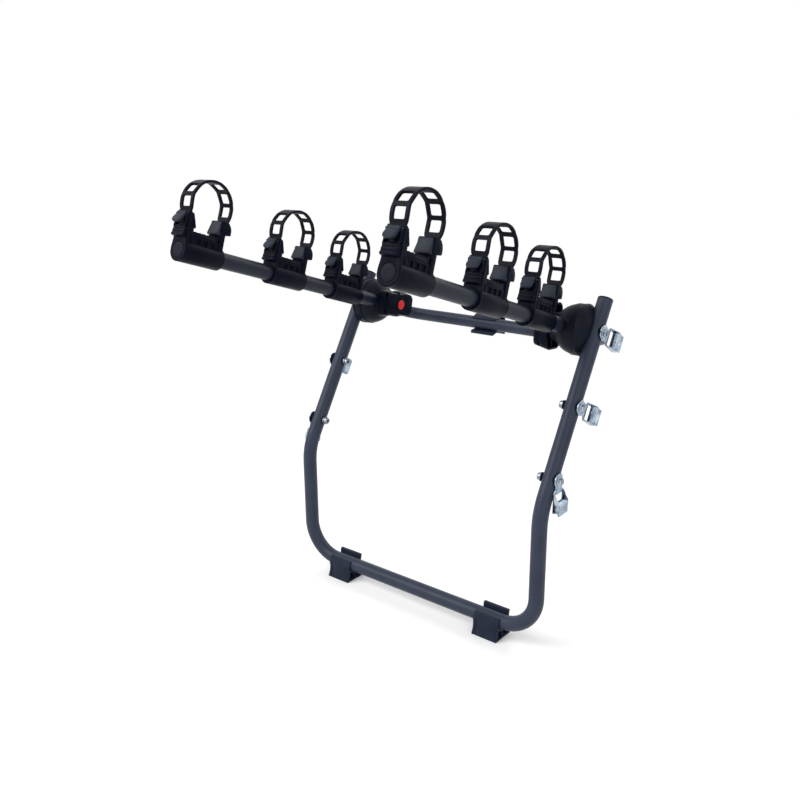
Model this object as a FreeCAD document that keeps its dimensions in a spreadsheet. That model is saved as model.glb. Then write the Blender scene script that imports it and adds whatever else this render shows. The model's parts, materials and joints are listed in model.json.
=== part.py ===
import FreeCAD, Part
import math
import os
import Sketcher

# Rear bike rack: a lower frame and an upper frame of bent tube, two folding arms with three
# cradles each, clamping knobs at the hubs, and cam buckles on the legs.
# Millimetres. Origin midway between the lower feet on their base plane, X to the right side,
# Y towards the car, Z up.

PLAIN_SIZES = {
    # tubes of the frames
    "tube_radius": 15,
    "tube_wall": 1.5,
    "upper_tube_radius": 13.5,
    "leg_half_spacing": 295,
    "bar_height": 35,
    "knee_rise": 251,
    "leg_lean": 30.75,
    "leg_above_hub": 65,
    "corner_radius": 75,
    "knee_radius": 120,
    "hub_distance": 359,
    "middle_bolt_distance": 209,
    "lower_bolt_distance": 67,
    "plug_thickness": 3,
    "plug_stem": 12,
    # clearances
    "seat_gap": 0.3,
    "running_gap": 0.07,
    "knob_gap": 0.8,
    "side_tube_gap": 1,
    # feet and pads
    "foot_length": 58,
    "foot_half_spacing": 195,
    "lip_width": 6.3,
    "lip_rise": 2.5,
    "upper_pad_offset": -35,
    # hub
    "hub_radius": 50,
    "disc_bite": 2,
    "disc_web": 8.5,
    "disc_rim": 4,
    "disc_crown": 22,
    "ring_thickness": 16.9,
    "neck_radius": 29,
    "neck_length": 28.2,
    "arm_hub_wall": 2.5,
    "hub_bolt_radius": 5,
    "socket_start": 56,
    "spigot_length": 30,
    # upper frame
    "upper_reach": 135.7,
    "upper_droop": 19.6,
    "upper_corner_radius": 55,
    # arms
    "arm_length": 564,
    "arm_tail": 24,
    "arm_rise": 17.48,
    "outer_inset": 42,
    "middle_cradle": 305.5,
    "inner_cradle": 128,
    # cradles
    "sleeve_radius": 20.5,
    "sleeve_length": 88,
    "cradle_width": 33,
    "strap_width": 28,
    "strap_thickness": 4.4,
    "strap_radius": 42.2,
    "loop_radius": 44.5,
    "loop_width": 34,
    "loop_height": 86,
    "ladder_hole_width": 21,
    "ladder_hole_length": 18.5,
    "ladder_step": 33,
    "deck_height": 27,
    "tower_height": 68,
    "block_top": 43,
    "anchor_height": 52,
    "latch_offset": 49,
    "latch_height": 63,
    "latch_radius": 4,
    "latch_width": 22,
    "pin_radius": 1.2,
    # knobs
    "knob_half_length": 46,
    "knob_half_width": 29,
    "knob_corner": 16,
    "knob_depth": 31.5,
    "knob_wall": 4,
    "cap_radius": 16,
    "left_knob_turn": -10,
    "right_knob_turn": 85,
    # buckles and their bolts
    "leg_bolt_radius": 4,
    "outer_saddle_radius": 12,
    "outer_saddle_reach": 1,
    "inner_saddle_radius": 9,
    "inner_saddle_reach": 3,
    "washer_thickness": 2,
    "nut_height": 6.5,
    "nut_flange": 2,
    "bolt_head": 6,
    "plate_thickness": 2,
    "ear_radius": 15,
    "buckle_half_width": 18,
    "shoulder_drop": 20,
    "window_drop": 24,
    "window_length": 16,
    "buckle_length": 61,
    "cheek_height": 11,
    "cheek_thickness": 1.8,
    "pivot_drop": 44,
    "roller_radius": 6,
    "pivot_radius": 2.5,
}

TEXT_OF_SHEET = "Sizes"


class Size:
    """A number together with the spreadsheet expression that gives it."""

    def __init__(self, value, text):
        self.value = value
        self.text = text

    def __add__(self, other):
        other = as_size(other)
        return Size(self.value + other.value, "(" + self.text + " + " + other.text + ")")

    def __radd__(self, other):
        return as_size(other) + self

    def __sub__(self, other):
        other = as_size(other)
        return Size(self.value - other.value, "(" + self.text + " - " + other.text + ")")

    def __rsub__(self, other):
        return as_size(other) - self

    def __mul__(self, other):
        other = as_size(other)
        return Size(self.value * other.value, "(" + self.text + " * " + other.text + ")")

    def __rmul__(self, other):
        return as_size(other) * self

    def __truediv__(self, other):
        other = as_size(other)
        return Size(self.value / other.value, "(" + self.text + " / " + other.text + ")")

    def __neg__(self):
        return Size(-self.value, "(0 - " + self.text + ")")


def as_size(thing):
    """Turn a plain number into a Size and leave a Size as it is."""
    if isinstance(thing, Size):
        return thing
    return Size(float(thing), "(" + repr(float(thing)) + ")")


def sine(angle):
    """Sine of an angle in degrees."""
    angle = as_size(angle)
    return Size(math.sin(math.radians(angle.value)), "sin(" + angle.text + ")")


def cosine(angle):
    """Cosine of an angle in degrees."""
    angle = as_size(angle)
    return Size(math.cos(math.radians(angle.value)), "cos(" + angle.text + ")")


doc = FreeCAD.newDocument("BikeRack")
sheet = doc.addObject("Spreadsheet::Sheet", TEXT_OF_SHEET)
SIZE = {}
for row, (alias, number) in enumerate(PLAIN_SIZES.items(), start=1):
    sheet.set("A" + str(row), alias)
    sheet.set("B" + str(row), str(number))
    sheet.setAlias("B" + str(row), alias)
    SIZE[alias] = Size(float(number), TEXT_OF_SHEET + "." + alias)
doc.recompute()


# Drawing helpers

def bind(thing, path, size):
    """Tie one property of an object to a size."""
    thing.setExpression(path, as_size(size).text)


def new_body(name):
    """Start one sub-part."""
    body = doc.addObject("PartDesign::Body", name)
    body.Label = name
    return body


def place(thing, across=0, along=0, up=0, turn=0):
    """Put an object at a point, turned about the X direction."""
    across, along, up, turn = (as_size(value) for value in (across, along, up, turn))
    rotation = FreeCAD.Rotation(FreeCAD.Vector(1, 0, 0), turn.value or 1)
    position = FreeCAD.Vector(across.value, along.value, up.value)
    thing.Placement = FreeCAD.Placement(position, rotation)
    bind(thing, "Placement.Base.x", across)
    bind(thing, "Placement.Base.y", along)
    bind(thing, "Placement.Base.z", up)
    bind(thing, "Placement.Rotation.Angle", turn)


def new_sketch(body, name, plane, middle=0):
    """Attach a sketch to one of the body's own planes, moved along that plane's axis."""
    sketch = body.newObject("Sketcher::SketchObject", body.Name + name)
    support = [feature for feature in body.Origin.OriginFeatures if feature.Role == plane + "_Plane"]
    sketch.AttachmentSupport = [(support[0], "")]
    sketch.MapMode = "FlatFace"
    middle = as_size(middle)
    if plane == "XZ":
        middle = -middle
    sketch.AttachmentOffset = FreeCAD.Placement(FreeCAD.Vector(0, 0, middle.value), FreeCAD.Rotation())
    bind(sketch, "AttachmentOffset.Base.z", middle)
    return sketch


def fix_point(sketch, element, end, across, up):
    """Hold one point of a sketch at a pair of sizes."""
    for kind, size in (("DistanceX", across), ("DistanceY", up)):
        number = sketch.addConstraint(Sketcher.Constraint(kind, -1, 1, element, end, size.value))
        bind(sketch, "Constraints[" + str(number) + "]", size)


def arc_between(start, end, radius):
    """The shorter arc from start to end, turning left for a positive radius."""
    flat = end - start
    half = flat.Length / 2
    rise = math.sqrt(max(radius * radius - half * half, 0))
    left = FreeCAD.Vector(-flat.y, flat.x, 0).normalize()
    centre = start + flat * 0.5 + left * (rise if radius > 0 else -rise)
    first, last = (start, end) if radius > 0 else (end, start)
    angles = [math.atan2(point.y - centre.y, point.x - centre.x) for point in (first, last)]
    if angles[1] < angles[0]:
        angles[1] += 2 * math.pi
    circle = Part.Circle(centre, FreeCAD.Vector(0, 0, 1), abs(radius))
    return Part.ArcOfCircle(circle, angles[0], angles[1])


def draw_path(sketch, corners, closed):
    """Draw lines and arcs through the corners.

    A corner is (across, up), or (across, up, radius) where an arc leads to the next corner.
    The arc turns left for a positive radius and right for a negative one.
    """
    corners = [tuple(as_size(value) for value in corner) for corner in corners]
    points = [FreeCAD.Vector(corner[0].value, corner[1].value, 0) for corner in corners]
    last = len(corners) if closed else len(corners) - 1
    pieces = []
    for index in range(last):
        start = points[index]
        end = points[(index + 1) % len(points)]
        if len(corners[index]) == 3:
            radius = corners[index][2]
            element = sketch.addGeometry(arc_between(start, end, radius.value), False)
            ends = (1, 2) if radius.value > 0 else (2, 1)
            size = radius if radius.value > 0 else -radius
            number = sketch.addConstraint(Sketcher.Constraint("Radius", element, size.value))
            bind(sketch, "Constraints[" + str(number) + "]", size)
        else:
            element = sketch.addGeometry(Part.LineSegment(start, end), False)
            ends = (1, 2)
        pieces.append((element, ends))
    for index, (element, ends) in enumerate(pieces):
        fix_point(sketch, element, ends[0], corners[index][0], corners[index][1])
        if closed or index + 1 < len(pieces):
            following, following_ends = pieces[(index + 1) % len(pieces)]
            sketch.addConstraint(
                Sketcher.Constraint("Coincident", element, ends[1], following, following_ends[0]))
        else:
            fix_point(sketch, element, ends[1], corners[-1][0], corners[-1][1])


def draw_circle(sketch, across, up, radius):
    """Draw a circle held by its centre and radius."""
    across, up, radius = (as_size(value) for value in (across, up, radius))
    centre = FreeCAD.Vector(across.value, up.value, 0)
    circle = Part.Circle(centre, FreeCAD.Vector(0, 0, 1), radius.value)
    element = sketch.addGeometry(circle, False)
    number = sketch.addConstraint(Sketcher.Constraint("Radius", element, radius.value))
    bind(sketch, "Constraints[" + str(number) + "]", radius)
    fix_point(sketch, element, 3, across, up)


def push(body, name, kind, plane, middle, length, outlines=(), circles=()):
    """Pad or pocket outlines and circles evenly to both sides of a plane."""
    sketch = new_sketch(body, name + "Sketch", plane, middle)
    for outline in outlines:
        draw_path(sketch, outline, True)
    for circle in circles:
        draw_circle(sketch, *circle)
    feature = body.newObject("PartDesign::" + kind, body.Name + name)
    feature.Profile = sketch
    feature.SideType = "Symmetric"
    bind(feature, "Length", length)
    sketch.Visibility = False
    return feature


def pad(body, name, plane, middle, length, outlines=(), circles=()):
    """Add material."""
    return push(body, name, "Pad", plane, middle, length, outlines, circles)


def pocket(body, name, plane, middle, length, outlines=(), circles=()):
    """Cut material."""
    return push(body, name, "Pocket", plane, middle, length, outlines, circles)


def turned(body, name, outline):
    """Turn an outline of (x, radius) corners about the body's X axis."""
    sketch = new_sketch(body, name + "Sketch", "XY")
    draw_path(sketch, outline, True)
    feature = body.newObject("PartDesign::Revolution", body.Name + name)
    feature.Profile = sketch
    feature.ReferenceAxis = (sketch, ["H_Axis"])
    feature.Angle = 360
    sketch.Visibility = False
    return feature


def swept_tube(body, name, path_plane, path_middle, path, start_plane, start_middle, centre, radius):
    """Sweep a tube's ring along a path."""
    spine = new_sketch(body, name + "Path", path_plane, path_middle)
    draw_path(spine, path, False)
    ring = new_sketch(body, name + "Ring", start_plane, start_middle)
    draw_circle(ring, centre[0], centre[1], radius)
    draw_circle(ring, centre[0], centre[1], radius - SIZE["tube_wall"])
    feature = body.newObject("PartDesign::AdditivePipe", body.Name + name)
    feature.Profile = ring
    feature.Spine = (spine, [])
    spine.Visibility = False
    ring.Visibility = False
    return feature


def round_cut(body, name, radius, height, across, along, up):
    """Cut a round hole along the body's Z axis, starting at the given point."""
    feature = body.newObject("PartDesign::SubtractiveCylinder", body.Name + name)
    bind(feature, "Radius", radius)
    bind(feature, "Height", height)
    bind(feature, "Placement.Base.x", across)
    bind(feature, "Placement.Base.y", along)
    bind(feature, "Placement.Base.z", up)
    return feature


def mirrored(source, name):
    """The left-hand twin of a right-hand piece."""
    twin = doc.addObject("Part::Mirroring", name)
    twin.Label = name
    twin.Source = source
    twin.Base = FreeCAD.Vector(0, 0, 0)
    twin.Normal = FreeCAD.Vector(1, 0, 0)
    return twin


def group(name, pieces):
    """Several separate solids under one name."""
    together = doc.addObject("Part::Compound", name)
    together.Label = name
    together.Links = pieces
    return together


# Positions that several pieces share

leg_x = SIZE["leg_half_spacing"]
tube_radius = SIZE["tube_radius"]
seat_gap = SIZE["seat_gap"]
running_gap = SIZE["running_gap"]
lean = SIZE["leg_lean"]
knee_height = SIZE["bar_height"] + SIZE["knee_rise"]


def leg_point(distance):
    """Y and Z of a point on the leaning part of a leg, measured from the knee."""
    return distance * sine(lean), knee_height + distance * cosine(lean)


hub_y, hub_z = leg_point(SIZE["hub_distance"])
disc_outer = leg_x - SIZE["disc_bite"]
disc_inner = leg_x - tube_radius - SIZE["disc_web"]
ring_outer = disc_inner - seat_gap
ring_inner = ring_outer - SIZE["ring_thickness"]
arm_hub_outer = ring_inner - seat_gap
arm_x = arm_hub_outer - SIZE["arm_hub_wall"] - tube_radius
arm_hub_inner = arm_x - SIZE["neck_length"]
knob_back = arm_hub_inner - SIZE["knob_gap"]
knob_front = knob_back - SIZE["knob_depth"]
side_tube_x = leg_x - tube_radius - SIZE["side_tube_gap"] - SIZE["upper_tube_radius"]
saddle_face = leg_x + tube_radius + SIZE["outer_saddle_reach"]
plate_inner = saddle_face + 0.2
plate_outer = plate_inner + SIZE["plate_thickness"]
tight_bore = tube_radius + seat_gap

nodes = []


def keep(thing):
    """Mark an object as a node of the finished part."""
    nodes.append(thing)
    return thing


# Lower frame tube: bottom bar, two corners, two legs with a knee

frame = keep(new_body("lower_frame_tube"))
corner = SIZE["corner_radius"]
leg_start = SIZE["bar_height"] + corner
bar_path = [
    (leg_x, leg_start, -corner),
    (leg_x - corner, SIZE["bar_height"]),
    (corner - leg_x, SIZE["bar_height"], -corner),
    (-leg_x, leg_start),
]
swept_tube(frame, "Bar", "XZ", 0, bar_path, "XY", leg_start, (leg_x, 0), tube_radius)
bend = SIZE["knee_radius"]
bend_reach = bend * sine(lean / 2) / cosine(lean / 2)
bend_end = leg_point(bend_reach)
leg_end = leg_point(SIZE["hub_distance"] + SIZE["leg_above_hub"])
for side, side_name in ((1, "Right"), (-1, "Left")):
    leg_path = [
        (0, leg_start),
        (0, knee_height - bend_reach, -bend),
        bend_end,
        leg_end,
    ]
    swept_tube(frame, side_name + "Leg", "YZ", side * leg_x, leg_path,
               "XY", leg_start, (side * leg_x, 0), tube_radius)
bolt_spots = [
    ("top", SIZE["hub_distance"], SIZE["hub_bolt_radius"]),
    ("middle", SIZE["middle_bolt_distance"], SIZE["leg_bolt_radius"]),
    ("lower", SIZE["lower_bolt_distance"], SIZE["leg_bolt_radius"]),
]
leg_holes = []
for spot, distance, radius in bolt_spots:
    spot_y, spot_z = leg_point(distance)
    leg_holes.append((spot_y, spot_z, radius + seat_gap))
pocket(frame, "BoltHoles", "YZ", 0, 2 * leg_x + 4 * tube_radius, circles=leg_holes)


# Plugs in the open tube ends

def end_plug(name, plane, tube_bore):
    """A flat cap with a stem that goes down the tube, facing along the plane's axis."""
    plug = new_body(name)
    way = 1 if plane == "XY" else -1
    thickness = SIZE["plug_thickness"]
    stem = SIZE["plug_stem"]
    pad(plug, "Cap", plane, way * thickness / 2, thickness, circles=[(0, 0, tube_radius)])
    pad(plug, "Stem", plane, -way * stem / 2, stem, circles=[(0, 0, tube_bore - seat_gap)])
    return plug


plugs = []
for side, side_name in ((1, "right"), (-1, "left")):
    plug = end_plug(side_name + "_leg_plug", "XY", tube_radius - SIZE["tube_wall"])
    place(plug, side * leg_x, leg_end[0], leg_end[1], -lean)
    plugs.append(plug)
keep(group("leg_end_plugs", plugs))


# Feet and upper pad: one moulding, clipped round a tube

def clip_foot(name, bore, facing):
    """A channel round a tube, with a flat base and a lip on the side that facing gives."""
    foot = new_body(name)
    base = -SIZE["bar_height"]
    slant = bore * cosine(45)
    lip_top = bore + SIZE["lip_rise"]
    outline = [
        (-26, base),
        (27, base),
        (24.5, base + 9, -40),
        (bore + 3.2, -4),
        (bore + SIZE["lip_width"], bore - 6),
        (bore + 2.2 + SIZE["lip_width"], lip_top),
        (bore + 2.2, lip_top),
        (bore, 0, -bore),
        (0, -bore, -bore),
        (-bore, 0, -bore),
        (-slant, slant),
        (-slant - 2.6, slant + 2.6),
        (-bore - 5.4, -3, -45),
    ]
    turned_round = [(facing * corner[0], corner[1]) + tuple(facing * bend for bend in corner[2:])
                    for corner in outline]
    pad(foot, "Channel", "YZ", 0, SIZE["foot_length"], outlines=[turned_round])
    return foot


for side, side_name in ((1, "right"), (-1, "left")):
    foot = keep(clip_foot(side_name + "_foot", tight_bore, 1))
    place(foot, side * SIZE["foot_half_spacing"], 0, SIZE["bar_height"])


# Hub discs on the legs, in a frame that leans with the leg

right_disc = keep(new_body("right_hub_disc"))
hub_bore = SIZE["hub_bolt_radius"] + seat_gap
disc_radius = SIZE["hub_radius"] + 1
turned(right_disc, "Disc", [
    (disc_inner, hub_bore),
    (disc_outer, hub_bore),
    (disc_outer, SIZE["disc_crown"], 60),
    (disc_inner + SIZE["disc_rim"], disc_radius - 0.5),
    (disc_inner + SIZE["disc_rim"] - 1, disc_radius),
    (disc_inner + 1, disc_radius),
    (disc_inner, disc_radius - 1),
])
round_cut(right_disc, "LegGroove", tight_bore, 3 * disc_radius, leg_x, 0, -1.5 * disc_radius)
place(right_disc, 0, hub_y, hub_z, -lean)
keep(mirrored(right_disc, "left_hub_disc"))

# Hub bolts and leg bolts

nut_height = SIZE["nut_height"]
flange = SIZE["nut_flange"]
nut_inner = plate_outer + 0.3
bolt_tip = nut_inner + nut_height + 1
washer_outer = leg_x - tube_radius - SIZE["inner_saddle_reach"]
washer_radius = SIZE["inner_saddle_radius"]


def simple_rod(name, start, end, radius):
    """A round rod along X, from start to end."""
    rod = doc.addObject("Part::Cylinder", name)
    rod.Label = name
    bind(rod, "Radius", radius)
    bind(rod, "Height", end - start)
    rod.Placement = FreeCAD.Placement(
        FreeCAD.Vector(start.value, 0, 0), FreeCAD.Rotation(FreeCAD.Vector(0, 1, 0), 90))
    bind(rod, "Placement.Base.x", start)
    return rod


hub_bolts = []
for side, side_name in ((1, "right"), (-1, "left")):
    start = knob_front + 6 if side == 1 else -bolt_tip
    bolt = simple_rod(side_name + "_hub_bolt", start, start + bolt_tip - knob_front - 6,
                      SIZE["hub_bolt_radius"])
    bind(bolt, "Placement.Base.y", hub_y)
    bind(bolt, "Placement.Base.z", hub_z)
    hub_bolts.append(bolt)
keep(group("hub_bolts", hub_bolts))

bolts = []
washers = []
saddles = []
nuts = []
for spot, distance, radius in bolt_spots:
    spot_y, spot_z = leg_point(distance)
    right_pieces = []
    outer_saddle = new_body("right_" + spot + "_outer_saddle")
    turned(outer_saddle, "Ring", [
        (leg_x, radius + seat_gap),
        (saddle_face, radius + seat_gap),
        (saddle_face, SIZE["outer_saddle_radius"] - 0.5),
        (saddle_face - 0.5, SIZE["outer_saddle_radius"]),
        (leg_x, SIZE["outer_saddle_radius"]),
    ])
    round_cut(outer_saddle, "LegSeat", tight_bore, 60, leg_x, 0, -30)
    right_pieces.append((outer_saddle, saddles))
    nut = new_body("right_" + spot + "_nut")
    nut_radius = radius * 1.8
    hexagon = [(nut_radius * cosine(60 * k), nut_radius * sine(60 * k)) for k in range(6)]
    pad(nut, "Flange", "YZ", nut_inner + flange / 2, flange,
        circles=[(0, 0, radius * 2.5), (0, 0, radius + running_gap)])
    pad(nut, "Hexagon", "YZ", nut_inner + nut_height / 2, nut_height, outlines=[hexagon],
        circles=[(0, 0, radius + running_gap)])
    right_pieces.append((nut, nuts))
    if spot != "top":
        inner_saddle = new_body("right_" + spot + "_inner_saddle")
        turned(inner_saddle, "Ring", [
            (washer_outer, radius + seat_gap),
            (leg_x, radius + seat_gap),
            (leg_x, washer_radius),
            (washer_outer + 0.5, washer_radius),
            (washer_outer, washer_radius - 0.5),
        ])
        round_cut(inner_saddle, "LegSeat", tight_bore, 60, leg_x, 0, -30)
        right_pieces.append((inner_saddle, saddles))
        washer = new_body("right_" + spot + "_washer")
        washer_inner = washer_outer - SIZE["washer_thickness"]
        turned(washer, "Ring", [
            (washer_inner, radius + seat_gap),
            (washer_outer, radius + seat_gap),
            (washer_outer, washer_radius),
            (washer_inner, washer_radius),
        ])
        right_pieces.append((washer, washers))
        bolt = new_body("right_" + spot + "_bolt")
        head_start = washer_inner - SIZE["bolt_head"]
        socket_radius = radius * 0.8
        turned(bolt, "HeadAndShank", [
            (head_start, socket_radius),
            (head_start, radius * 1.6),
            (head_start + 1, radius * 1.8),
            (washer_inner, radius * 1.8),
            (washer_inner, radius),
            (bolt_tip, radius),
            (bolt_tip, 0),
            (washer_inner - 2, 0),
            (washer_inner - 2, socket_radius),
        ])
        right_pieces.append((bolt, bolts))
    for piece, pile in right_pieces:
        place(piece, 0, spot_y, spot_z, -lean)
        pile.append(piece)
        pile.append(mirrored(piece, piece.Name.replace("right", "left")))
keep(group("leg_bolts", bolts))
keep(group("bolt_washers", washers))
keep(group("leg_saddles", saddles))
keep(group("buckle_nuts", nuts))

# Upper frame: rings at the hubs and a shallow bent tube between them

droop = -SIZE["upper_droop"]
upper_radius = SIZE["upper_tube_radius"]
reach = SIZE["upper_reach"]
running_bore = SIZE["hub_bolt_radius"] + running_gap
ring = keep(new_body("right_hub_ring"))
ring_radius = SIZE["hub_radius"]
turned(ring, "Ring", [
    (ring_inner, running_bore),
    (ring_outer, running_bore),
    (ring_outer, ring_radius - 1),
    (ring_outer - 1, ring_radius),
    (ring_inner + 1.5, ring_radius),
    (ring_inner, ring_radius - 1.5),
])
socket_start = SIZE["socket_start"]
root_start = ring_radius - 8
pad(ring, "SocketRoot", "YZ", (ring_inner + ring_outer) / 2, SIZE["ring_thickness"], outlines=[[
    (root_start, -upper_radius),
    (socket_start, -upper_radius),
    (socket_start, upper_radius),
    (root_start, upper_radius),
]])
spigot_root = ring_radius + 3
pad(ring, "Spigot", "XZ", spigot_root + SIZE["spigot_length"] / 2, SIZE["spigot_length"],
    circles=[(side_tube_x, 0, upper_radius - SIZE["tube_wall"] - seat_gap)])
place(ring, 0, hub_y, hub_z, droop)
keep(mirrored(ring, "left_hub_ring"))

upper_tube = keep(new_body("upper_frame_tube"))
upper_corner = SIZE["upper_corner_radius"]
upper_path = [
    (side_tube_x, socket_start + seat_gap),
    (side_tube_x, reach - upper_corner, upper_corner),
    (side_tube_x - upper_corner, reach),
    (upper_corner - side_tube_x, reach, upper_corner),
    (-side_tube_x, reach - upper_corner),
    (-side_tube_x, socket_start + seat_gap),
]
swept_tube(upper_tube, "Tube", "XY", 0, upper_path, "XZ", socket_start + seat_gap,
           (side_tube_x, 0), upper_radius)
place(upper_tube, 0, hub_y, hub_z, droop)

upper_pad = keep(clip_foot("upper_pad", upper_radius + seat_gap, -1))
place(upper_pad, SIZE["upper_pad_offset"], hub_y + reach * cosine(droop),
      hub_z + reach * sine(droop), 90)

# Arms: tube, plug and hub, in a frame that tilts with the arm

rise = SIZE["arm_rise"]


def place_on_arm(thing, side, distance):
    """Put an object at a distance from the hub along one arm."""
    place(thing, side * arm_x, hub_y - distance * cosine(rise), hub_z + distance * sine(rise), -rise)


arm_length = SIZE["arm_length"]
for side, side_name in ((1, "right"), (-1, "left")):
    tube = keep(new_body(side_name + "_arm_tube"))
    tail = SIZE["arm_tail"]
    pad(tube, "Tube", "XZ", (tail - arm_length) / 2, tail + arm_length,
        circles=[(0, 0, tube_radius), (0, 0, tube_radius - SIZE["tube_wall"])])
    pocket(tube, "BoltHole", "YZ", 0, 4 * tube_radius, circles=[(0, 0, hub_bore)])
    place_on_arm(tube, side, 0)
    plug = keep(end_plug(side_name + "_arm_plug", "XZ", tube_radius - SIZE["tube_wall"]))
    place_on_arm(plug, side, arm_length)

arm_hub = keep(new_body("right_arm_hub"))
rim = SIZE["hub_radius"] - 1.5
neck = SIZE["neck_radius"]
turned(arm_hub, "Drum", [
    (arm_hub_inner, running_bore),
    (arm_hub_outer, running_bore),
    (arm_hub_outer, rim - 1),
    (arm_hub_outer - 1, rim),
    (arm_hub_outer - 3, rim - 0.5, 45),
    (arm_x - 13, neck + 2),
    (arm_hub_inner + 3, neck - 1),
    (arm_hub_inner, neck - 4),
])
tail_room = SIZE["arm_tail"] + seat_gap
pocket(arm_hub, "TubeBore", "XZ", (tail_room - 1.5 * rim) / 2, tail_room + 1.5 * rim,
       circles=[(arm_x, 0, tight_bore)])
place(arm_hub, 0, hub_y, hub_z, -rise)
keep(mirrored(arm_hub, "left_arm_hub"))

# Knobs: a hollow oblong handle on each hub bolt, with a round cap in its face


def knob_and_cap(side_name, turn):
    """The right-hand form of a knob and its cap, turned about the bolt."""
    knob = new_body(side_name + "_knob_form")
    length = SIZE["knob_half_length"]
    width = SIZE["knob_half_width"]

    def oblong(inset):
        """A rectangle with rounded corners, smaller by the inset all round."""
        far = length - inset
        high = width - inset
        bend_radius = SIZE["knob_corner"] - inset
        return [
            (far, bend_radius - high),
            (far, high - bend_radius, bend_radius),
            (far - bend_radius, high),
            (bend_radius - far, high, bend_radius),
            (-far, high - bend_radius),
            (-far, bend_radius - high, bend_radius),
            (bend_radius - far, -high),
            (far - bend_radius, -high, bend_radius),
        ]

    depth = SIZE["knob_depth"]
    wall = SIZE["knob_wall"]
    pad(knob, "Body", "YZ", (knob_front + knob_back) / 2, depth, outlines=[oblong(0)])
    hollow = depth - 8
    pocket(knob, "Hollow", "YZ", knob_back - hollow / 2, hollow, outlines=[oblong(wall)])
    boss_end = knob_back + 0.5
    pad(knob, "Boss", "YZ", boss_end - hollow / 2 - 1, hollow + 2, circles=[(0, 0, 13)])
    bore_end = knob_front + 5.5
    pocket(knob, "Bore", "YZ", (boss_end + bore_end) / 2, boss_end - bore_end,
           circles=[(0, 0, running_bore)])
    pocket(knob, "CapSeat", "YZ", knob_front, 4, circles=[(0, 0, SIZE["cap_radius"] + seat_gap)])
    place(knob, 0, hub_y, hub_z, turn)
    cap = new_body(side_name + "_cap_form")
    pad(cap, "Disc", "YZ", knob_front + 0.4, 3.2, circles=[(0, 0, SIZE["cap_radius"])])
    place(cap, 0, hub_y, hub_z, turn)
    return knob, cap


right_knob, right_cap = knob_and_cap("right", SIZE["right_knob_turn"])
right_knob.Label = "right_knob"
right_cap.Label = "right_knob_cap"
keep(right_knob)
keep(right_cap)
left_knob, left_cap = knob_and_cap("left", SIZE["left_knob_turn"])
keep(mirrored(left_knob, "left_knob"))
keep(mirrored(left_cap, "left_knob_cap"))

# Cradles

strap_inner = SIZE["strap_radius"] - SIZE["strap_thickness"] / 2
strap_outer = SIZE["strap_radius"] + SIZE["strap_thickness"] / 2
anchor_y = SIZE["strap_radius"]
anchor_z = SIZE["anchor_height"]
latch_y = -SIZE["latch_offset"]
latch_z = SIZE["latch_height"]
deck = SIZE["deck_height"]
tower = SIZE["tower_height"]
block_top = SIZE["block_top"]
slot_width = SIZE["strap_width"] + 0.6
rear_wall = strap_inner - 6
pin_fit = SIZE["pin_radius"] + 0.05
pin_run = SIZE["pin_radius"] + running_gap
loop_z = SIZE["loop_height"]
loop_inner = SIZE["loop_radius"] - SIZE["strap_thickness"] / 2
loop_outer = SIZE["loop_radius"] + SIZE["strap_thickness"] / 2


def cradle_base(name, side, distance):
    """Sleeve round the arm tube, deck, and a tower at each end for the strap and its latch."""
    base = new_body(name)
    width = SIZE["cradle_width"]
    front = -strap_outer
    sleeve_end = -SIZE["sleeve_length"] / 2
    outline = [
        (rear_wall, 0),
        (rear_wall, anchor_z - 8),
        (anchor_y + 3.8, anchor_z - 5),
        (anchor_y + 3.8, anchor_z + 5),
        (rear_wall, anchor_z + 10),
        (rear_wall - 1, tower),
        (rear_wall - 6, tower),
        (rear_wall - 11, block_top - 1),
        (rear_wall - 7, block_top - 3),
        (rear_wall - 7, deck),
        (front + 13.4, deck),
        (front + 13.4, block_top - 2),
        (front + 15.4, block_top),
        (front + 8.4, tower - 2),
        (front + 5.9, tower),
        (latch_y - 2, tower),
        (latch_y - 5, tower - 8),
        (latch_y - 3, block_top),
        (latch_y - 4.4, block_top - 5),
        (latch_y - 3, block_top - 6),
        (latch_y - 5.6, block_top - 11),
        (latch_y - 4.2, block_top - 12),
        (latch_y - 7, block_top - 17),
        (latch_y - 5, block_top - 19),
        (sleeve_end, block_top - 21),
        (sleeve_end, 0),
    ]
    pad(base, "Towers", "YZ", 0, width, outlines=[outline])
    pad(base, "Sleeve", "XZ", 0, SIZE["sleeve_length"], circles=[(0, 0, SIZE["sleeve_radius"])])
    pocket(base, "Bore", "XZ", 0, SIZE["sleeve_length"] + 20, circles=[(0, 0, tight_bore)])
    front_slot = [
        (front + 4.7, block_top),
        (front + 6.2, tower + 2),
        (latch_y - 20, tower + 2),
        (latch_y - 20, block_top),
    ]
    rear_slot = [
        (rear_wall, anchor_z - 12),
        (anchor_y + 12, anchor_z - 12),
        (anchor_y + 12, tower + 2),
        (rear_wall, tower + 2),
    ]
    pocket(base, "StrapSlots", "YZ", 0, slot_width, outlines=[front_slot, rear_slot])
    pocket(base, "PinHoles", "YZ", 0, width + 10,
           circles=[(anchor_y, anchor_z, pin_fit), (latch_y, latch_z, pin_fit)])
    place_on_arm(base, side, distance)
    return base


def saddle_pad(name, side, distance):
    """Ribbed rubber pad on the deck between the towers."""
    rubber = new_body(name)
    rear = rear_wall - 7.4
    front = 13.8 - strap_outer
    rib_count = 6
    pitch = (rear - front) / rib_count
    top = deck + 9
    outline = [(front, deck), (rear, deck)]
    for k in range(rib_count):
        start = rear - k * pitch
        outline.append((start, top - 3))
        outline.append((start - 0.25 * pitch, top))
        outline.append((start - 0.7 * pitch, top))
    outline.append((front, top - 3))
    pad(rubber, "Ribs", "YZ", 0, SIZE["cradle_width"] - 4, outlines=[outline])
    place_on_arm(rubber, side, distance)
    return rubber


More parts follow.
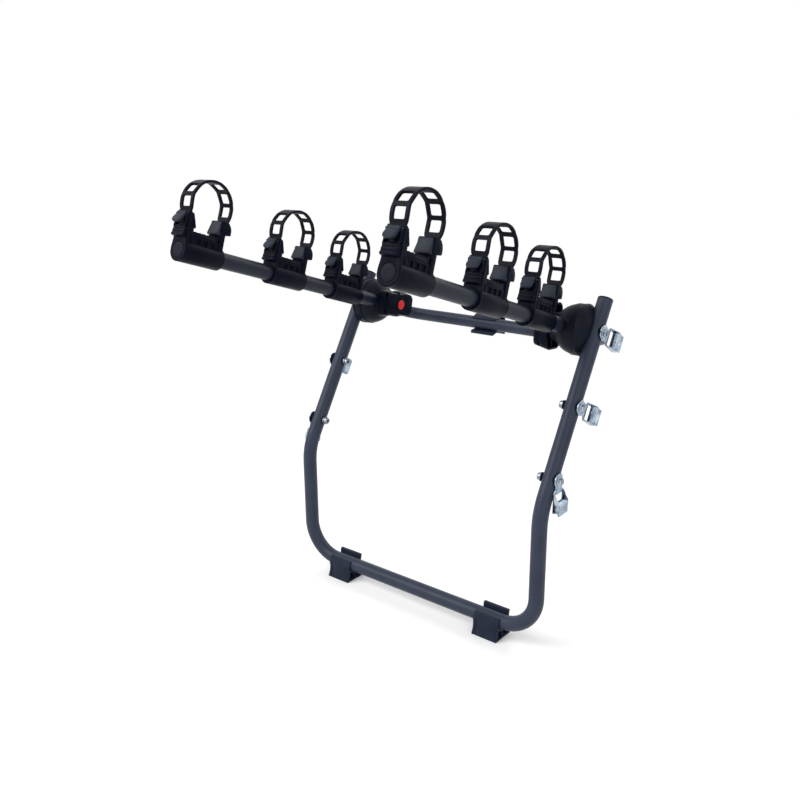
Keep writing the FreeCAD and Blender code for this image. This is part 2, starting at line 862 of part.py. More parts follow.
def ladder_strap(name, side, distance):
    """Strap that arches over the cradle, with ladder holes and a flared tail."""
    strap = new_body(name)
    shoulder = tower + 2
    arch = [
        (strap_outer, shoulder),
        (loop_outer, loop_z, loop_outer),
        (0, loop_z + loop_outer, loop_outer),
        (-loop_outer, loop_z),
        (-strap_outer, shoulder),
        (-strap_inner, shoulder),
        (-loop_inner, loop_z, -loop_inner),
        (0, loop_z + loop_inner, -loop_inner),
        (loop_inner, loop_z),
        (strap_inner, shoulder),
    ]
    pad(strap, "Arch", "YZ", 0, SIZE["loop_width"], outlines=[arch])
    rear_leg = [
        (strap_inner, anchor_z - 7),
        (strap_outer + 6, anchor_z - 7),
        (strap_outer + 7, anchor_z - 4),
        (strap_outer, anchor_z + 6),
        (strap_outer, shoulder),
        (strap_inner, shoulder),
    ]
    front_leg = [
        (-strap_outer, shoulder),
        (-strap_outer, block_top + 5),
        (-strap_inner, block_top + 5),
        (-strap_inner, shoulder),
    ]
    pad(strap, "Legs", "YZ", 0, SIZE["strap_width"], outlines=[rear_leg, front_leg])
    near = loop_inner - 3
    far = loop_outer + 3
    half = SIZE["ladder_hole_length"] / 2
    holes = []
    for count in (0, 1, 2):
        holes.append(count * SIZE["ladder_step"])
    for count in (0, 1):
        holes.append(180 - count * SIZE["ladder_step"])
    ladder = []
    for angle in holes:
        out = (cosine(angle), sine(angle))
        turn = (-out[1], out[0])
        ladder.append([
            (near * out[0] - half * turn[0], loop_z + near * out[1] - half * turn[1]),
            (far * out[0] - half * turn[0], loop_z + far * out[1] - half * turn[1]),
            (far * out[0] + half * turn[0], loop_z + far * out[1] + half * turn[1]),
            (near * out[0] + half * turn[0], loop_z + near * out[1] + half * turn[1]),
        ])
    pocket(strap, "LadderHoles", "YZ", 0, SIZE["ladder_hole_width"], outlines=ladder)
    pocket(strap, "PinHole", "YZ", 0, SIZE["strap_width"] + 4, circles=[(anchor_y, anchor_z, pin_run)])
    place_on_arm(strap, side, distance)
    return strap


def strap_latch(name, side, distance):
    """Thumb tab that turns on a pin between the plates of the front tower."""
    latch = new_body(name)
    radius = SIZE["latch_radius"]
    tab = [
        (latch_y - 8.5, block_top + 0.5),
        (latch_y - 0.5, latch_z - 6),
        (latch_y + radius, latch_z, radius),
        (latch_y, latch_z + radius, radius),
        (latch_y - radius, latch_z),
        (latch_y - 12.5, block_top + 3),
    ]
    pad(latch, "Tab", "YZ", 0, SIZE["latch_width"], outlines=[tab])
    pad(latch, "Barrel", "YZ", 0, SIZE["strap_width"], circles=[(latch_y, latch_z, radius - 0.2)])
    pocket(latch, "PinHole", "YZ", 0, SIZE["strap_width"] + 4, circles=[(latch_y, latch_z, pin_run)])
    place_on_arm(latch, side, distance)
    return latch


def place_pin(pin, side, distance, along, up):
    """Put a cross pin at a point of a cradle's own frame."""
    bind(pin, "Placement.Base.x", side * arm_x - SIZE["cradle_width"] / 2)
    bind(pin, "Placement.Base.y",
         hub_y - distance * cosine(rise) + along * cosine(rise) + up * sine(rise))
    bind(pin, "Placement.Base.z",
         hub_z + distance * sine(rise) - along * sine(rise) + up * cosine(rise))


cradle_spots = [
    ("outer", SIZE["arm_length"] - SIZE["outer_inset"]),
    ("middle", SIZE["middle_cradle"]),
    ("inner", SIZE["inner_cradle"]),
]
for side, side_name in ((1, "right"), (-1, "left")):
    pads = []
    pins = []
    for spot, distance in cradle_spots:
        start_of_name = side_name + "_" + spot + "_"
        keep(cradle_base(start_of_name + "cradle", side, distance))
        keep(ladder_strap(start_of_name + "strap", side, distance))
        keep(strap_latch(start_of_name + "latch", side, distance))
        pads.append(saddle_pad(start_of_name + "pad", side, distance))
        for use, along, up in (("anchor", anchor_y, anchor_z), ("latch", latch_y, latch_z)):
            pin = simple_rod(start_of_name + use + "_pin", as_size(0), SIZE["cradle_width"],
                             SIZE["pin_radius"])
            place_pin(pin, side, distance, along, up)
            pins.append(pin)
    keep(group(side_name + "_saddle_pads", pads))
    keep(group(side_name + "_cradle_pins", pins))

# Cam buckles on the outer sides of the legs

half_width = SIZE["buckle_half_width"]
ear = SIZE["ear_radius"]
end_z = -SIZE["buckle_length"]
pivot_x = plate_outer + SIZE["roller_radius"] + 0.5
pivot_z = -SIZE["pivot_drop"]
shoulder_z = -SIZE["shoulder_drop"]
cheek_top = plate_outer + SIZE["cheek_height"]


def buckle_frame(name, bolt_radius):
    """Sheet frame: a bolted ear, a plate with a window, and two cheeks."""
    sheet_frame = new_body(name)
    neck_y = ear * sine(55)
    neck_z = -ear * cosine(55)
    plate = [
        (neck_y, neck_z, ear),
        (ear, 0, ear),
        (0, ear, ear),
        (-ear, 0, ear),
        (-neck_y, neck_z),
        (-neck_y, shoulder_z + 5),
        (-half_width, shoulder_z),
        (-half_width, end_z + 4, 4),
        (4 - half_width, end_z),
        (half_width - 4, end_z, 4),
        (half_width, end_z + 4),
        (half_width, shoulder_z),
        (neck_y, shoulder_z + 5),
    ]
    pad(sheet_frame, "Plate", "YZ", (plate_inner + plate_outer) / 2, SIZE["plate_thickness"],
        outlines=[plate], circles=[(0, 0, bolt_radius + running_gap)])
    window_side = half_width - 3.5
    window_top = -SIZE["window_drop"]
    window_end = window_top - SIZE["window_length"]
    window = [
        (-window_side, window_top),
        (-window_side, window_end),
        (window_side, window_end),
        (window_side, window_top),
    ]
    pocket(sheet_frame, "Window", "YZ", plate_inner, 4 * SIZE["plate_thickness"], outlines=[window])
    cheek = [
        (plate_inner, shoulder_z - 1),
        (plate_outer + 1, shoulder_z - 1),
        (pivot_x, pivot_z + 12),
        (cheek_top, pivot_z + 5),
        (cheek_top, pivot_z - 5),
        (pivot_x, end_z + 3),
        (plate_inner, end_z + 5),
    ]
    for way, label in ((1, "Near"), (-1, "Far")):
        middle = way * (half_width - SIZE["cheek_thickness"] / 2)
        pad(sheet_frame, label + "Cheek", "XZ", middle, SIZE["cheek_thickness"], outlines=[cheek])
    pocket(sheet_frame, "PivotHoles", "XZ", 0, 2 * half_width + 4,
           circles=[(pivot_x, pivot_z, SIZE["pivot_radius"] + running_gap)])
    return sheet_frame


def buckle_lever(name):
    """Roller on a pivot, with a ridged thumb pad."""
    lever = new_body(name)
    inner_width = 2 * (half_width - SIZE["cheek_thickness"] - 0.4)
    pad(lever, "Roller", "XZ", 0, inner_width, circles=[(pivot_x, pivot_z, SIZE["roller_radius"])])
    pad(lever, "Pivot", "XZ", 0, 2 * half_width + 1, circles=[(pivot_x, pivot_z, SIZE["pivot_radius"])])
    thumb_face = pivot_x + 5
    thumb = [
        (pivot_x, pivot_z - 3),
        (pivot_x, pivot_z - 10),
        (pivot_x + 2.5, end_z - 3),
        (thumb_face, end_z - 2),
    ]
    ridge_count = 4
    pitch = 4
    for k in range(ridge_count):
        low = end_z + 0.5 + k * pitch
        thumb.append((thumb_face - 0.3 * k, low))
        thumb.append((thumb_face + 1.4 - 0.3 * k, low + 0.4 * pitch))
        thumb.append((thumb_face - 0.3 * k, low + 0.8 * pitch))
    thumb.append((pivot_x + 3, pivot_z + 3))
    pad(lever, "Thumb", "XZ", 0, inner_width, outlines=[thumb])
    return lever


for spot, distance, radius in bolt_spots:
    spot_y, spot_z = leg_point(distance)
    hang = as_size(0) if spot == "lower" else 90 - lean
    right_frame = keep(buckle_frame("right_" + spot + "_buckle", radius))
    right_lever = keep(buckle_lever("right_" + spot + "_buckle_lever"))
    for piece in (right_frame, right_lever):
        place(piece, 0, spot_y, spot_z, hang)
    keep(mirrored(right_frame, "left_" + spot + "_buckle"))
    keep(mirrored(right_lever, "left_" + spot + "_buckle_lever"))

doc.recompute()

# Checks and files

problems = []
for thing in doc.Objects:
    if "Invalid" in thing.State or "Error" in thing.State:
        problems.append(thing.Name + ": " + ", ".join(thing.State))
for node in nodes:
    shape = node.Shape
    if shape.isNull() or not shape.isValid() or not shape.Solids:
        problems.append(node.Label + ": no sound solid")
if problems:
    raise RuntimeError("; ".join(problems))

os.makedirs("parts", exist_ok=True)
for node in nodes:
    node.Shape.exportStep("parts/" + node.Label + ".step")
print(len(nodes), "nodes written")
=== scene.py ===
import json
import logging
import math
from dataclasses import dataclass, field, replace
from enum import Enum
from typing import Callable, Iterable, Sequence

import bpy
from mathutils import Matrix, Vector

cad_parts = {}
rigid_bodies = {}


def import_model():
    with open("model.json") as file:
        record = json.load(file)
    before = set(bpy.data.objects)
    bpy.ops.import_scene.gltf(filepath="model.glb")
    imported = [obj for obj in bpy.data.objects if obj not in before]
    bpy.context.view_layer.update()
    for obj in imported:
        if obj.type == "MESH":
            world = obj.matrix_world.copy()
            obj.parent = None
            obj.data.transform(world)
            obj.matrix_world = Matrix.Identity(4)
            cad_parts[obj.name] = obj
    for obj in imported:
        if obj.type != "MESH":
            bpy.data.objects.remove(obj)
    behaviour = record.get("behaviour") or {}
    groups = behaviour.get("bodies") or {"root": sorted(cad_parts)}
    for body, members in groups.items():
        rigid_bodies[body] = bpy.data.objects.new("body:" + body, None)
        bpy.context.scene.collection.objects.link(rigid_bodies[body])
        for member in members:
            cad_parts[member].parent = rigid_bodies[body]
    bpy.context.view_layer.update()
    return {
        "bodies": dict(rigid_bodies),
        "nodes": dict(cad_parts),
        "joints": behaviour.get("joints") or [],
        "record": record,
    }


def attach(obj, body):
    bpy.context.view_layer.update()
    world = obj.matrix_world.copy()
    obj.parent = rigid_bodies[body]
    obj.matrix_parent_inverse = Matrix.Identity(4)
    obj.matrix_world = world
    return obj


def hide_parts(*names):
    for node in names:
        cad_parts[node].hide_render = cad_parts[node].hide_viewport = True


LOG = logging.getLogger("bike_rack")
MM = 0.001

Point = tuple[float, float]
Colour = tuple[float, float, float]
Piece = bpy.types.Object
Tree = bpy.types.NodeTree
Socket = bpy.types.NodeSocket


class Side(Enum):
    """The two sides of the rack, with their sign along X."""

    RIGHT = 1
    LEFT = -1

    @property
    def word(self) -> str:
        """The side's word in node names."""
        return self.name.lower()


class Spot(Enum):
    """A cradle's place on an arm, with its distance from the hub in millimetres."""

    OUTER = 522.0
    MIDDLE = 305.5
    INNER = 128.0


class BoltSpot(Enum):
    """A bolt's place on a leg: distance from the knee, bolt radius and buckle angle."""

    TOP = (359.0, 5.0, 59.25)
    MIDDLE = (209.0, 4.0, 59.25)
    LOWER = (67.0, 4.0, 0.0)


class Grain(Enum):
    """How the surface of a finish is structured."""

    POWDER = "powder coat"
    MOULDED = "moulded plastic"
    RUBBER = "rubber"
    PLATED = "plated steel"


@dataclass(frozen=True)
class Rack:
    """Sizes of the whole rack in millimetres and degrees, shared by the sub-assemblies."""

    leg_x: float = 295.0
    leg_end: float = 424.0
    tube_radius: float = 15.0
    tube_seat: float = 15.3
    upper_seat: float = 13.8
    bar_height: float = 35.0
    knee: float = 286.0
    lean: float = 30.75
    rise: float = 17.48
    droop: float = 19.6
    hub_distance: float = 359.0
    arm_x: float = 236.5
    arm_length: float = 564.0

    def leg_point(self, distance: float) -> Point:
        """A point of the leaning leg.

        Args:
            distance: millimetres from the knee along the leg.

        Returns:
            Its Y and Z in millimetres.
        """
        angle = math.radians(self.lean)
        return distance * math.sin(angle), self.knee + distance * math.cos(angle)

    def arm_point(self, distance: float) -> Point:
        """A point of an arm's axis.

        Args:
            distance: millimetres from the hub along the arm.

        Returns:
            Its Y and Z in millimetres.
        """
        hub_y, hub_z = self.hub
        angle = math.radians(self.rise)
        return hub_y - distance * math.cos(angle), hub_z + distance * math.sin(angle)

    @property
    def hub(self) -> Point:
        """Y and Z of the hubs' axis."""
        return self.leg_point(self.hub_distance)


RACK = Rack()


# Work at the bench: primitives, edit-mode operators and modifiers

def clear_selection() -> None:
    """Leave edit mode and deselect everything."""
    active = bpy.context.view_layer.objects.active
    if active is not None and active.mode != "OBJECT":
        bpy.ops.object.mode_set(mode="OBJECT")
    bpy.ops.object.select_all(action="DESELECT")


def pick(*pieces: Piece) -> None:
    """Select just these pieces, the first one active."""
    clear_selection()
    for piece in pieces:
        piece.select_set(True)
    bpy.context.view_layer.objects.active = pieces[0]


def bake(piece: Piece) -> Piece:
    """Write a piece's place, turn and scale into its mesh and return it."""
    pick(piece)
    bpy.ops.object.transform_apply(location=True, rotation=True, scale=True)
    return piece


def edit_all(piece: Piece) -> None:
    """Open a piece in edit mode with all of its mesh selected."""
    pick(piece)
    bpy.ops.object.mode_set(mode="EDIT")
    bpy.ops.mesh.select_all(action="SELECT")


def edit_some(piece: Piece, kind: str, wanted: Callable[[object], bool]) -> None:
    """Open a piece in edit mode with some of its mesh selected.

    Args:
        piece: the piece to open.
        kind: "VERT" or "FACE".
        wanted: says whether a vertex or face is selected.
    """
    edit_all(piece)
    bpy.ops.mesh.select_mode(type=kind)
    bpy.ops.mesh.select_all(action="DESELECT")
    bpy.ops.object.mode_set(mode="OBJECT")
    for element in piece.data.vertices if kind == "VERT" else piece.data.polygons:
        element.select = wanted(element)
    bpy.ops.object.mode_set(mode="EDIT")


def close_edit() -> None:
    """Go back to object mode, ready to select vertices next time."""
    bpy.ops.mesh.select_mode(type="VERT")
    bpy.ops.object.mode_set(mode="OBJECT")


def apply_modifier(piece: Piece, kind: str, **settings: object) -> None:
    """Add a modifier to a piece and apply it.

    Args:
        piece: the piece to change.
        kind: the modifier's type.
        settings: values for the modifier's properties.
    """
    pick(piece)
    bpy.ops.object.modifier_add(type=kind)
    modifier = piece.modifiers[-1]
    for name, value in settings.items():
        setattr(modifier, name, value)
    bpy.ops.object.modifier_apply(modifier=modifier.name)


def smooth(piece: Piece, angle: float = 35) -> Piece:
    """Shade a piece smooth, except across edges sharper than an angle, and return it."""
    pick(piece)
    bpy.ops.object.shade_smooth_by_angle(angle=math.radians(angle))
    return piece


def bevel(piece: Piece, width: float, segments: int, angle: float) -> None:
    """Break the sharp edges of a piece; the sizes are those of round_edges."""
    apply_modifier(piece, "BEVEL", width=width * MM, segments=segments, limit_method="ANGLE",
                   angle_limit=math.radians(angle), use_clamp_overlap=True,
                   miter_outer="MITER_ARC", harden_normals=False)


def round_edges(piece: Piece, width: float, segments: int = 2, angle: float = 30,
                shading: float = 35) -> Piece:
    """Break the sharp edges of a piece and shade it smooth.

    Args:
        piece: the piece to change.
        width: width of the rounding in millimetres.
        segments: faces across the rounding.
        angle: edges sharper than this many degrees are rounded.
        shading: edges sharper than this many degrees stay crisp in the shading.

    Returns:
        The same piece.
    """
    bevel(piece, width, segments, angle)
    return smooth(piece, shading)


def turn_normals_out() -> None:
    """Make the normals of the mesh that is open in edit mode point outwards."""
    bpy.ops.mesh.select_all(action="SELECT")
    bpy.ops.mesh.normals_make_consistent(inside=False)


def draw_line(points: Sequence[Point], plane: str, level: float) -> Piece:
    """Draw a chain of edges by extruding one vertex from point to point.

    Args:
        points: positions in the plane, in millimetres.
        plane: "YZ", "XZ" or "XY".
        level: height of the plane on its own axis, in millimetres.

    Returns:
        The new object, left in edit mode with all of it selected.
    """
    def lift(point: Point) -> Vector:
        """A point of the plane as a place in metres."""
        first, second = point
        places = {"YZ": (level, first, second), "XZ": (first, level, second), "XY": (first, second, level)}
        return Vector(places[plane]) * MM

    clear_selection()
    bpy.ops.mesh.primitive_plane_add(size=MM)
    piece = bpy.context.object
    edit_all(piece)
    bpy.ops.mesh.merge(type="CENTER")
    place = lift(points[0])
    bpy.ops.transform.translate(value=place)
    for point in points[1:]:
        following = lift(point)
        bpy.ops.mesh.extrude_region_move(TRANSFORM_OT_translate={"value": following - place})
        place = following
    bpy.ops.mesh.select_all(action="SELECT")
    return piece


def prism(points: Sequence[Point], start: float, end: float, plane: str = "YZ") -> Piece:
    """Fill an outline and extrude it across its plane.

    Args:
        points: the outline's corners in millimetres.
        start: one end of the prism on the plane's axis, in millimetres.
        end: its other end.
        plane: the outline's plane.

    Returns:
        The closed prism.
    """
    low, high = sorted((start, end))
    piece = draw_line(points, plane, low)
    bpy.ops.mesh.edge_face_add()
    way = {"YZ": (1, 0, 0), "XZ": (0, 1, 0)}[plane]
    step = Vector(way) * (high - low) * MM
    bpy.ops.mesh.extrude_region_move(TRANSFORM_OT_translate={"value": step})
    turn_normals_out()
    close_edit()
    return piece


def block(left: float, right: float, bottom: float, top: float, start: float, end: float,
          plane: str = "YZ") -> Piece:
    """A prism over a rectangle, in millimetres."""
    corners = [(left, bottom), (right, bottom), (right, top), (left, top)]
    return prism(corners, start, end, plane)


def lathe(profile: Sequence[Point], steps: int = 48) -> Piece:
    """Spin a profile about the X axis.

    Args:
        profile: (x, radius) corners in millimetres. A closed ring repeats its first corner.
        steps: faces round the axis.

    Returns:
        The closed turned piece.
    """
    piece = draw_line(profile, "XZ", 0)
    bpy.ops.mesh.spin(steps=steps, angle=2 * math.pi, center=(0, 0, 0), axis=(1, 0, 0))
    bpy.ops.mesh.select_all(action="SELECT")
    bpy.ops.mesh.remove_doubles(threshold=0.00001)
    turn_normals_out()
    close_edit()
    return piece


def rod(low: float, high: float, radius: float, steps: int = 48) -> Piece:
    """A round bar about the X axis from low to high, in millimetres."""
    return lathe([(low, 0), (low, radius), (high, radius), (high, 0)], steps)


def turn_upright(piece: Piece, axis: str) -> Piece:
    """Turn a piece made about X so that its X axis points along Y or Z, and return it."""
    piece.rotation_euler = (0, 0, math.pi / 2) if axis == "Y" else (0, -math.pi / 2, 0)
    return bake(piece)


def turn_about(piece: Piece) -> Piece:
    """Turn a piece half round about the Z axis and return it."""
    piece.rotation_euler = (0, 0, math.pi)
    return bake(piece)


def shift(piece: Piece, across: float, along: float, up: float) -> Piece:
    """Move a piece's mesh by millimetres and return the piece."""
    edit_all(piece)
    bpy.ops.transform.translate(value=Vector((across, along, up)) * MM)
    close_edit()
    return piece


def cut(piece: Piece, *cutters: Piece) -> Piece:
    """Take the cutters' shapes out of a piece, remove the cutters and return the piece."""
    for cutter in cutters:
        apply_modifier(piece, "BOOLEAN", operation="DIFFERENCE", solver="EXACT", object=cutter)
        bpy.data.objects.remove(cutter)
    return piece


def join(name: str, pieces: Sequence[Piece]) -> Piece:
    """Join pieces into one object with a name."""
    pick(*pieces)
    bpy.ops.object.join()
    joined = bpy.context.view_layer.objects.active
    joined.name = name
    joined.data.name = name
    return joined


def copy_of(piece: Piece, name: str) -> Piece:
    """A copy of a piece with its own mesh."""
    twin = piece.copy()
    twin.data = piece.data.copy()
    twin.name = name
    twin.data.name = name
    bpy.context.scene.collection.objects.link(twin)
    return twin


def seat(piece: Piece, across: float, place: Point, turn: float) -> Piece:
    """Put a finished piece in its place and bake the place into its mesh.

    Args:
        piece: the piece, made about the origin.
        across: X in millimetres.
        place: Y and Z in millimetres.
        turn: turn about the X direction in degrees.

    Returns:
        The same piece.
    """
    piece.rotation_euler = (math.radians(turn), 0, 0)
    piece.location = Vector((across, *place)) * MM
    return bake(piece)


def mirror_over(piece: Piece) -> Piece:
    """Mirror a piece's mesh to the other side of X = 0 and return the piece."""
    piece.scale = (-1, 1, 1)
    bake(piece)
    edit_all(piece)
    bpy.ops.mesh.flip_normals()
    close_edit()
    return piece


def tube_space(start: float, end: float, axis: str, across: float) -> Piece:
    """A cutter for the place that a tube takes, along Y or Z, in millimetres."""
    return shift(turn_upright(rod(start, end, RACK.tube_seat), axis), across, 0, 0)


def dress(piece: Piece, material: bpy.types.Material) -> None:
    """Give a piece its material."""
    piece.data.materials.clear()
    piece.data.materials.append(material)


def arc(centre: Point, radius: float, start: float, end: float, count: int) -> list[Point]:
    """Points of an arc.

    Args:
        centre: the arc's centre in millimetres.
        radius: its radius in millimetres.
        start: first angle in degrees.
        end: last angle in degrees.
        count: steps between them.

    Returns:
        count + 1 points.
    """
    angles = [math.radians(start + (end - start) * k / count) for k in range(count + 1)]
    return [(centre[0] + radius * math.cos(a), centre[1] + radius * math.sin(a)) for a in angles]


def bow(start: Point, end: Point, radius: float, count: int = 8) -> list[Point]:
    """Points of the shorter arc between two points.

    Args:
        start: first point in millimetres.
        end: last point in millimetres.
        radius: the arc's radius; it turns left when positive and right when negative.
        count: steps between the points.

    Returns:
        count + 1 points.
    """
    across, up = end[0] - start[0], end[1] - start[1]
    chord = math.hypot(across, up)
    rise = math.copysign(math.sqrt(radius * radius - chord * chord / 4), radius)
    centre = ((start[0] + end[0]) / 2 - up / chord * rise,
              (start[1] + end[1]) / 2 + across / chord * rise)
    first = math.degrees(math.atan2(start[1] - centre[1], start[0] - centre[0]))
    sweep = math.copysign(2 * math.degrees(math.asin(chord / 2 / abs(radius))), radius)
    return arc(centre, abs(radius), first, first + sweep, count)


# Finishes

# Sockets of a Mix node for colours, which share their names with those for other kinds of value
FACTOR, FIRST, SECOND, MIXED = 0, 6, 7, 2
DUST = (0.24, 0.26, 0.30, 1)


def feed(tree: Tree, node: bpy.types.Node, inputs: dict[str | int, object]) -> None:
    """Fill a node's inputs: an output of another node is linked, anything else is a value."""
    for socket, value in inputs.items():
        if isinstance(value, Socket):
            tree.links.new(value, node.inputs[socket])
        else:
            node.inputs[socket].default_value = value


def add_node(tree: Tree, kind: str, inputs: dict[str | int, object],
             **settings: object) -> bpy.types.Node:
    """Add a shader node.

    Args:
        tree: the tree that it goes into.
        kind: the node's type, without the word ShaderNode.
        inputs: what its inputs get, as feed takes it.
        settings: values for the node's own properties.

    Returns:
        The new node.
    """
    node = tree.nodes.new("ShaderNode" + kind)
    for name, value in settings.items():
        setattr(node, name, value)
    feed(tree, node, inputs)
    return node


def object_place(tree: Tree) -> Socket:
    """The object's own coordinates."""
    return add_node(tree, "TexCoord", {}).outputs["Object"]


def stretch(tree: Tree, value: Socket, low: float, high: float) -> Socket:
    """A value spread out so that low becomes 0 and high becomes 1."""
    inputs = {"Value": value, "From Min": low, "From Max": high}
    return add_node(tree, "MapRange", inputs).outputs["Result"]


def combine(tree: Tree, operation: str, *values: object) -> Socket:
    """Two values added or multiplied, as the operation says."""
    return add_node(tree, "Math", dict(enumerate(values)), operation=operation).outputs["Value"]


def new_group(name: str, inputs: dict[str, float], *outputs: str) -> tuple[
        Tree, dict[str, Socket], bpy.types.Node]:
    """Start a node group.

    Args:
        name: the group's name.
        inputs: names of its inputs with their first values.
        outputs: names of its outputs.

    Returns:
        The group, what its inputs give, and its output node.
    """
    group = bpy.data.node_groups.new(name, "ShaderNodeTree")
    for title, value in inputs.items():
        socket = group.interface.new_socket(name=title, in_out="INPUT", socket_type="NodeSocketFloat")
        socket.default_value = value
    for title in outputs:
        group.interface.new_socket(name=title, in_out="OUTPUT", socket_type="NodeSocketFloat")
    given = dict(group.nodes.new("NodeGroupInput").outputs.items())
    return group, given, group.nodes.new("NodeGroupOutput")


def wear_group() -> Tree:
    """Mask of rubbed edges, broken up by noise."""
    group, given, result = new_group("rubbed_edges", {"Width": 0.0006, "Spots": 160.0}, "Mask")
    rounded = add_node(group, "Bevel", {"Radius": given["Width"]}, samples=4).outputs["Normal"]
    flat = add_node(group, "NewGeometry", {}).outputs["Normal"]
    compare = add_node(group, "VectorMath", {0: rounded, 1: flat}, operation="DOT_PRODUCT")
    edge = stretch(group, compare.outputs["Value"], 0.995, 0.90)
    noise = add_node(group, "TexNoise", {"Vector": object_place(group), "Scale": given["Spots"],
                                         "Detail": 6.0})
    patches = stretch(group, noise.outputs["Fac"], 0.45, 0.62)
    feed(group, result, {"Mask": combine(group, "MULTIPLY", edge, patches)})
    return group


def grain_group() -> Tree:
    """Fine surface grain over soft unevenness."""
    group, given, result = new_group("surface_grain", {"Fine": 1500.0, "Coarse": 40.0, "Share": 0.35},
                                     "Height", "Tone")
    place = object_place(group)
    fine = add_node(group, "TexNoise", {"Vector": place, "Scale": given["Fine"], "Detail": 3.0,
                                        "Roughness": 0.65})
    cells = add_node(group, "TexVoronoi", {"Vector": place, "Scale": given["Fine"]}, feature="SMOOTH_F1")
    coarse = add_node(group, "TexNoise", {"Vector": place, "Scale": given["Coarse"], "Detail": 5.0})
    pebbles = add_node(group, "Mix", {0: 0.4, 2: fine.outputs["Fac"], 3: cells.outputs["Distance"]},
                       data_type="FLOAT")
    blend = add_node(group, "Mix", {0: given["Share"], 2: pebbles.outputs[0], 3: coarse.outputs["Fac"]},
                     data_type="FLOAT")
    feed(group, result, {"Height": blend.outputs[0], "Tone": coarse.outputs["Fac"]})
    return group


def dust_group() -> Tree:
    """Mask of light dust that lies on faces turned upwards."""
    group, given, result = new_group("settled_dust", {"Amount": 0.1}, "Mask")
    normal = add_node(group, "NewGeometry", {}).outputs["Normal"]
    parts = add_node(group, "SeparateXYZ", {"Vector": normal})
    upward = stretch(group, parts.outputs["Z"], 0.35, 1.0)
    noise = add_node(group, "TexNoise", {"Vector": object_place(group), "Scale": 90.0, "Detail": 8.0})
    patches = stretch(group, noise.outputs["Fac"], 0.42, 0.7)
    both = combine(group, "MULTIPLY", upward, patches)
    feed(group, result, {"Mask": combine(group, "MULTIPLY", both, given["Amount"])})
    return group


@dataclass(frozen=True)
class Finish:
    """One surface finish, with everything that its material needs."""

    name: str
    slot: str
    grain: Grain
    colour: Colour
    shade: Colour
    rubbed: Colour
    roughness: float
    roughness_spread: float
    metallic: float = 0.0
    wear: float = 0.35
    dust: float = 0.1
    bump: float = 0.12
    depth: float = 0.0001
    fine: float = 1500.0
    coarse: float = 40.0
    coat: float = 0.0
    specular: float = 0.3

    def material(self, groups: dict[str, Tree]) -> bpy.types.Material:
        """Build the finish's material.

        Args:
            groups: the shared node groups, by name.

        Returns:
            The new material.
        """
        material = bpy.data.materials.new(self.name)
        material.use_nodes = True
        tree = material.node_tree
        grain = add_node(tree, "Group", {"Fine": self.fine, "Coarse": self.coarse},
                         node_tree=groups["grain"])
        rubbed = add_node(tree, "Group", {}, node_tree=groups["wear"])
        dust = add_node(tree, "Group", {"Amount": self.dust}, node_tree=groups["dust"])

        colour = self.blend(tree, stretch(tree, grain.outputs["Tone"], 0.35, 0.68),
                            (*self.colour, 1), (*self.shade, 1))
        worn = combine(tree, "MULTIPLY", rubbed.outputs["Mask"], self.wear)
        colour = self.blend(tree, worn, colour, (*self.rubbed, 1))
        colour = self.blend(tree, dust.outputs["Mask"], colour, DUST)
        gloss = add_node(tree, "MapRange", {
            "Value": grain.outputs["Height"], "To Min": self.roughness - self.roughness_spread,
            "To Max": self.roughness + self.roughness_spread})
        bump = add_node(tree, "Bump", {"Height": grain.outputs["Height"], "Strength": self.bump,
                                       "Distance": self.depth})
        feed(tree, tree.nodes["Principled BSDF"], {
            "Base Color": colour, "Roughness": gloss.outputs["Result"], "Normal": bump.outputs["Normal"],
            "Metallic": self.metallic, "Specular IOR Level": self.specular,
            "Coat Weight": self.coat, "Coat Roughness": 0.25})
        return material

    @staticmethod
    def blend(tree: Tree, share: Socket, first: object, second: object) -> Socket:
        """A colour between two others, at the second one where the share is 1."""
        inputs = {FACTOR: share, FIRST: first, SECOND: second}
        return add_node(tree, "Mix", inputs, data_type="RGBA").outputs[MIXED]


POWDER_COAT = Finish(
    "charcoal_powder_coat", "frame_paint", Grain.POWDER, (0.026, 0.034, 0.058),
    (0.020, 0.026, 0.046), (0.08, 0.085, 0.10), 0.42, 0.10, wear=0.22, dust=0.01, bump=0.2,
    depth=0.0002, fine=1100.0, coarse=22.0, coat=0.03, specular=0.20)
MOULDING = Finish(
    "black_moulding", "black_plastic", Grain.MOULDED, (0.0030, 0.0042, 0.0112),
    (0.0022, 0.0031, 0.0084), (0.026, 0.030, 0.042), 0.38, 0.09, wear=0.35, dust=0.006,
    bump=0.14, fine=1900.0, coarse=60.0, specular=0.04)
STEEL = Finish(
    "plated_steel", "dark_steel", Grain.PLATED, (0.30, 0.33, 0.37), (0.20, 0.22, 0.26),
    (0.52, 0.54, 0.58), 0.30, 0.08, metallic=1.0, wear=0.35, dust=0.005, bump=0.06,
    fine=1800.0, coarse=120.0, specular=0.5)
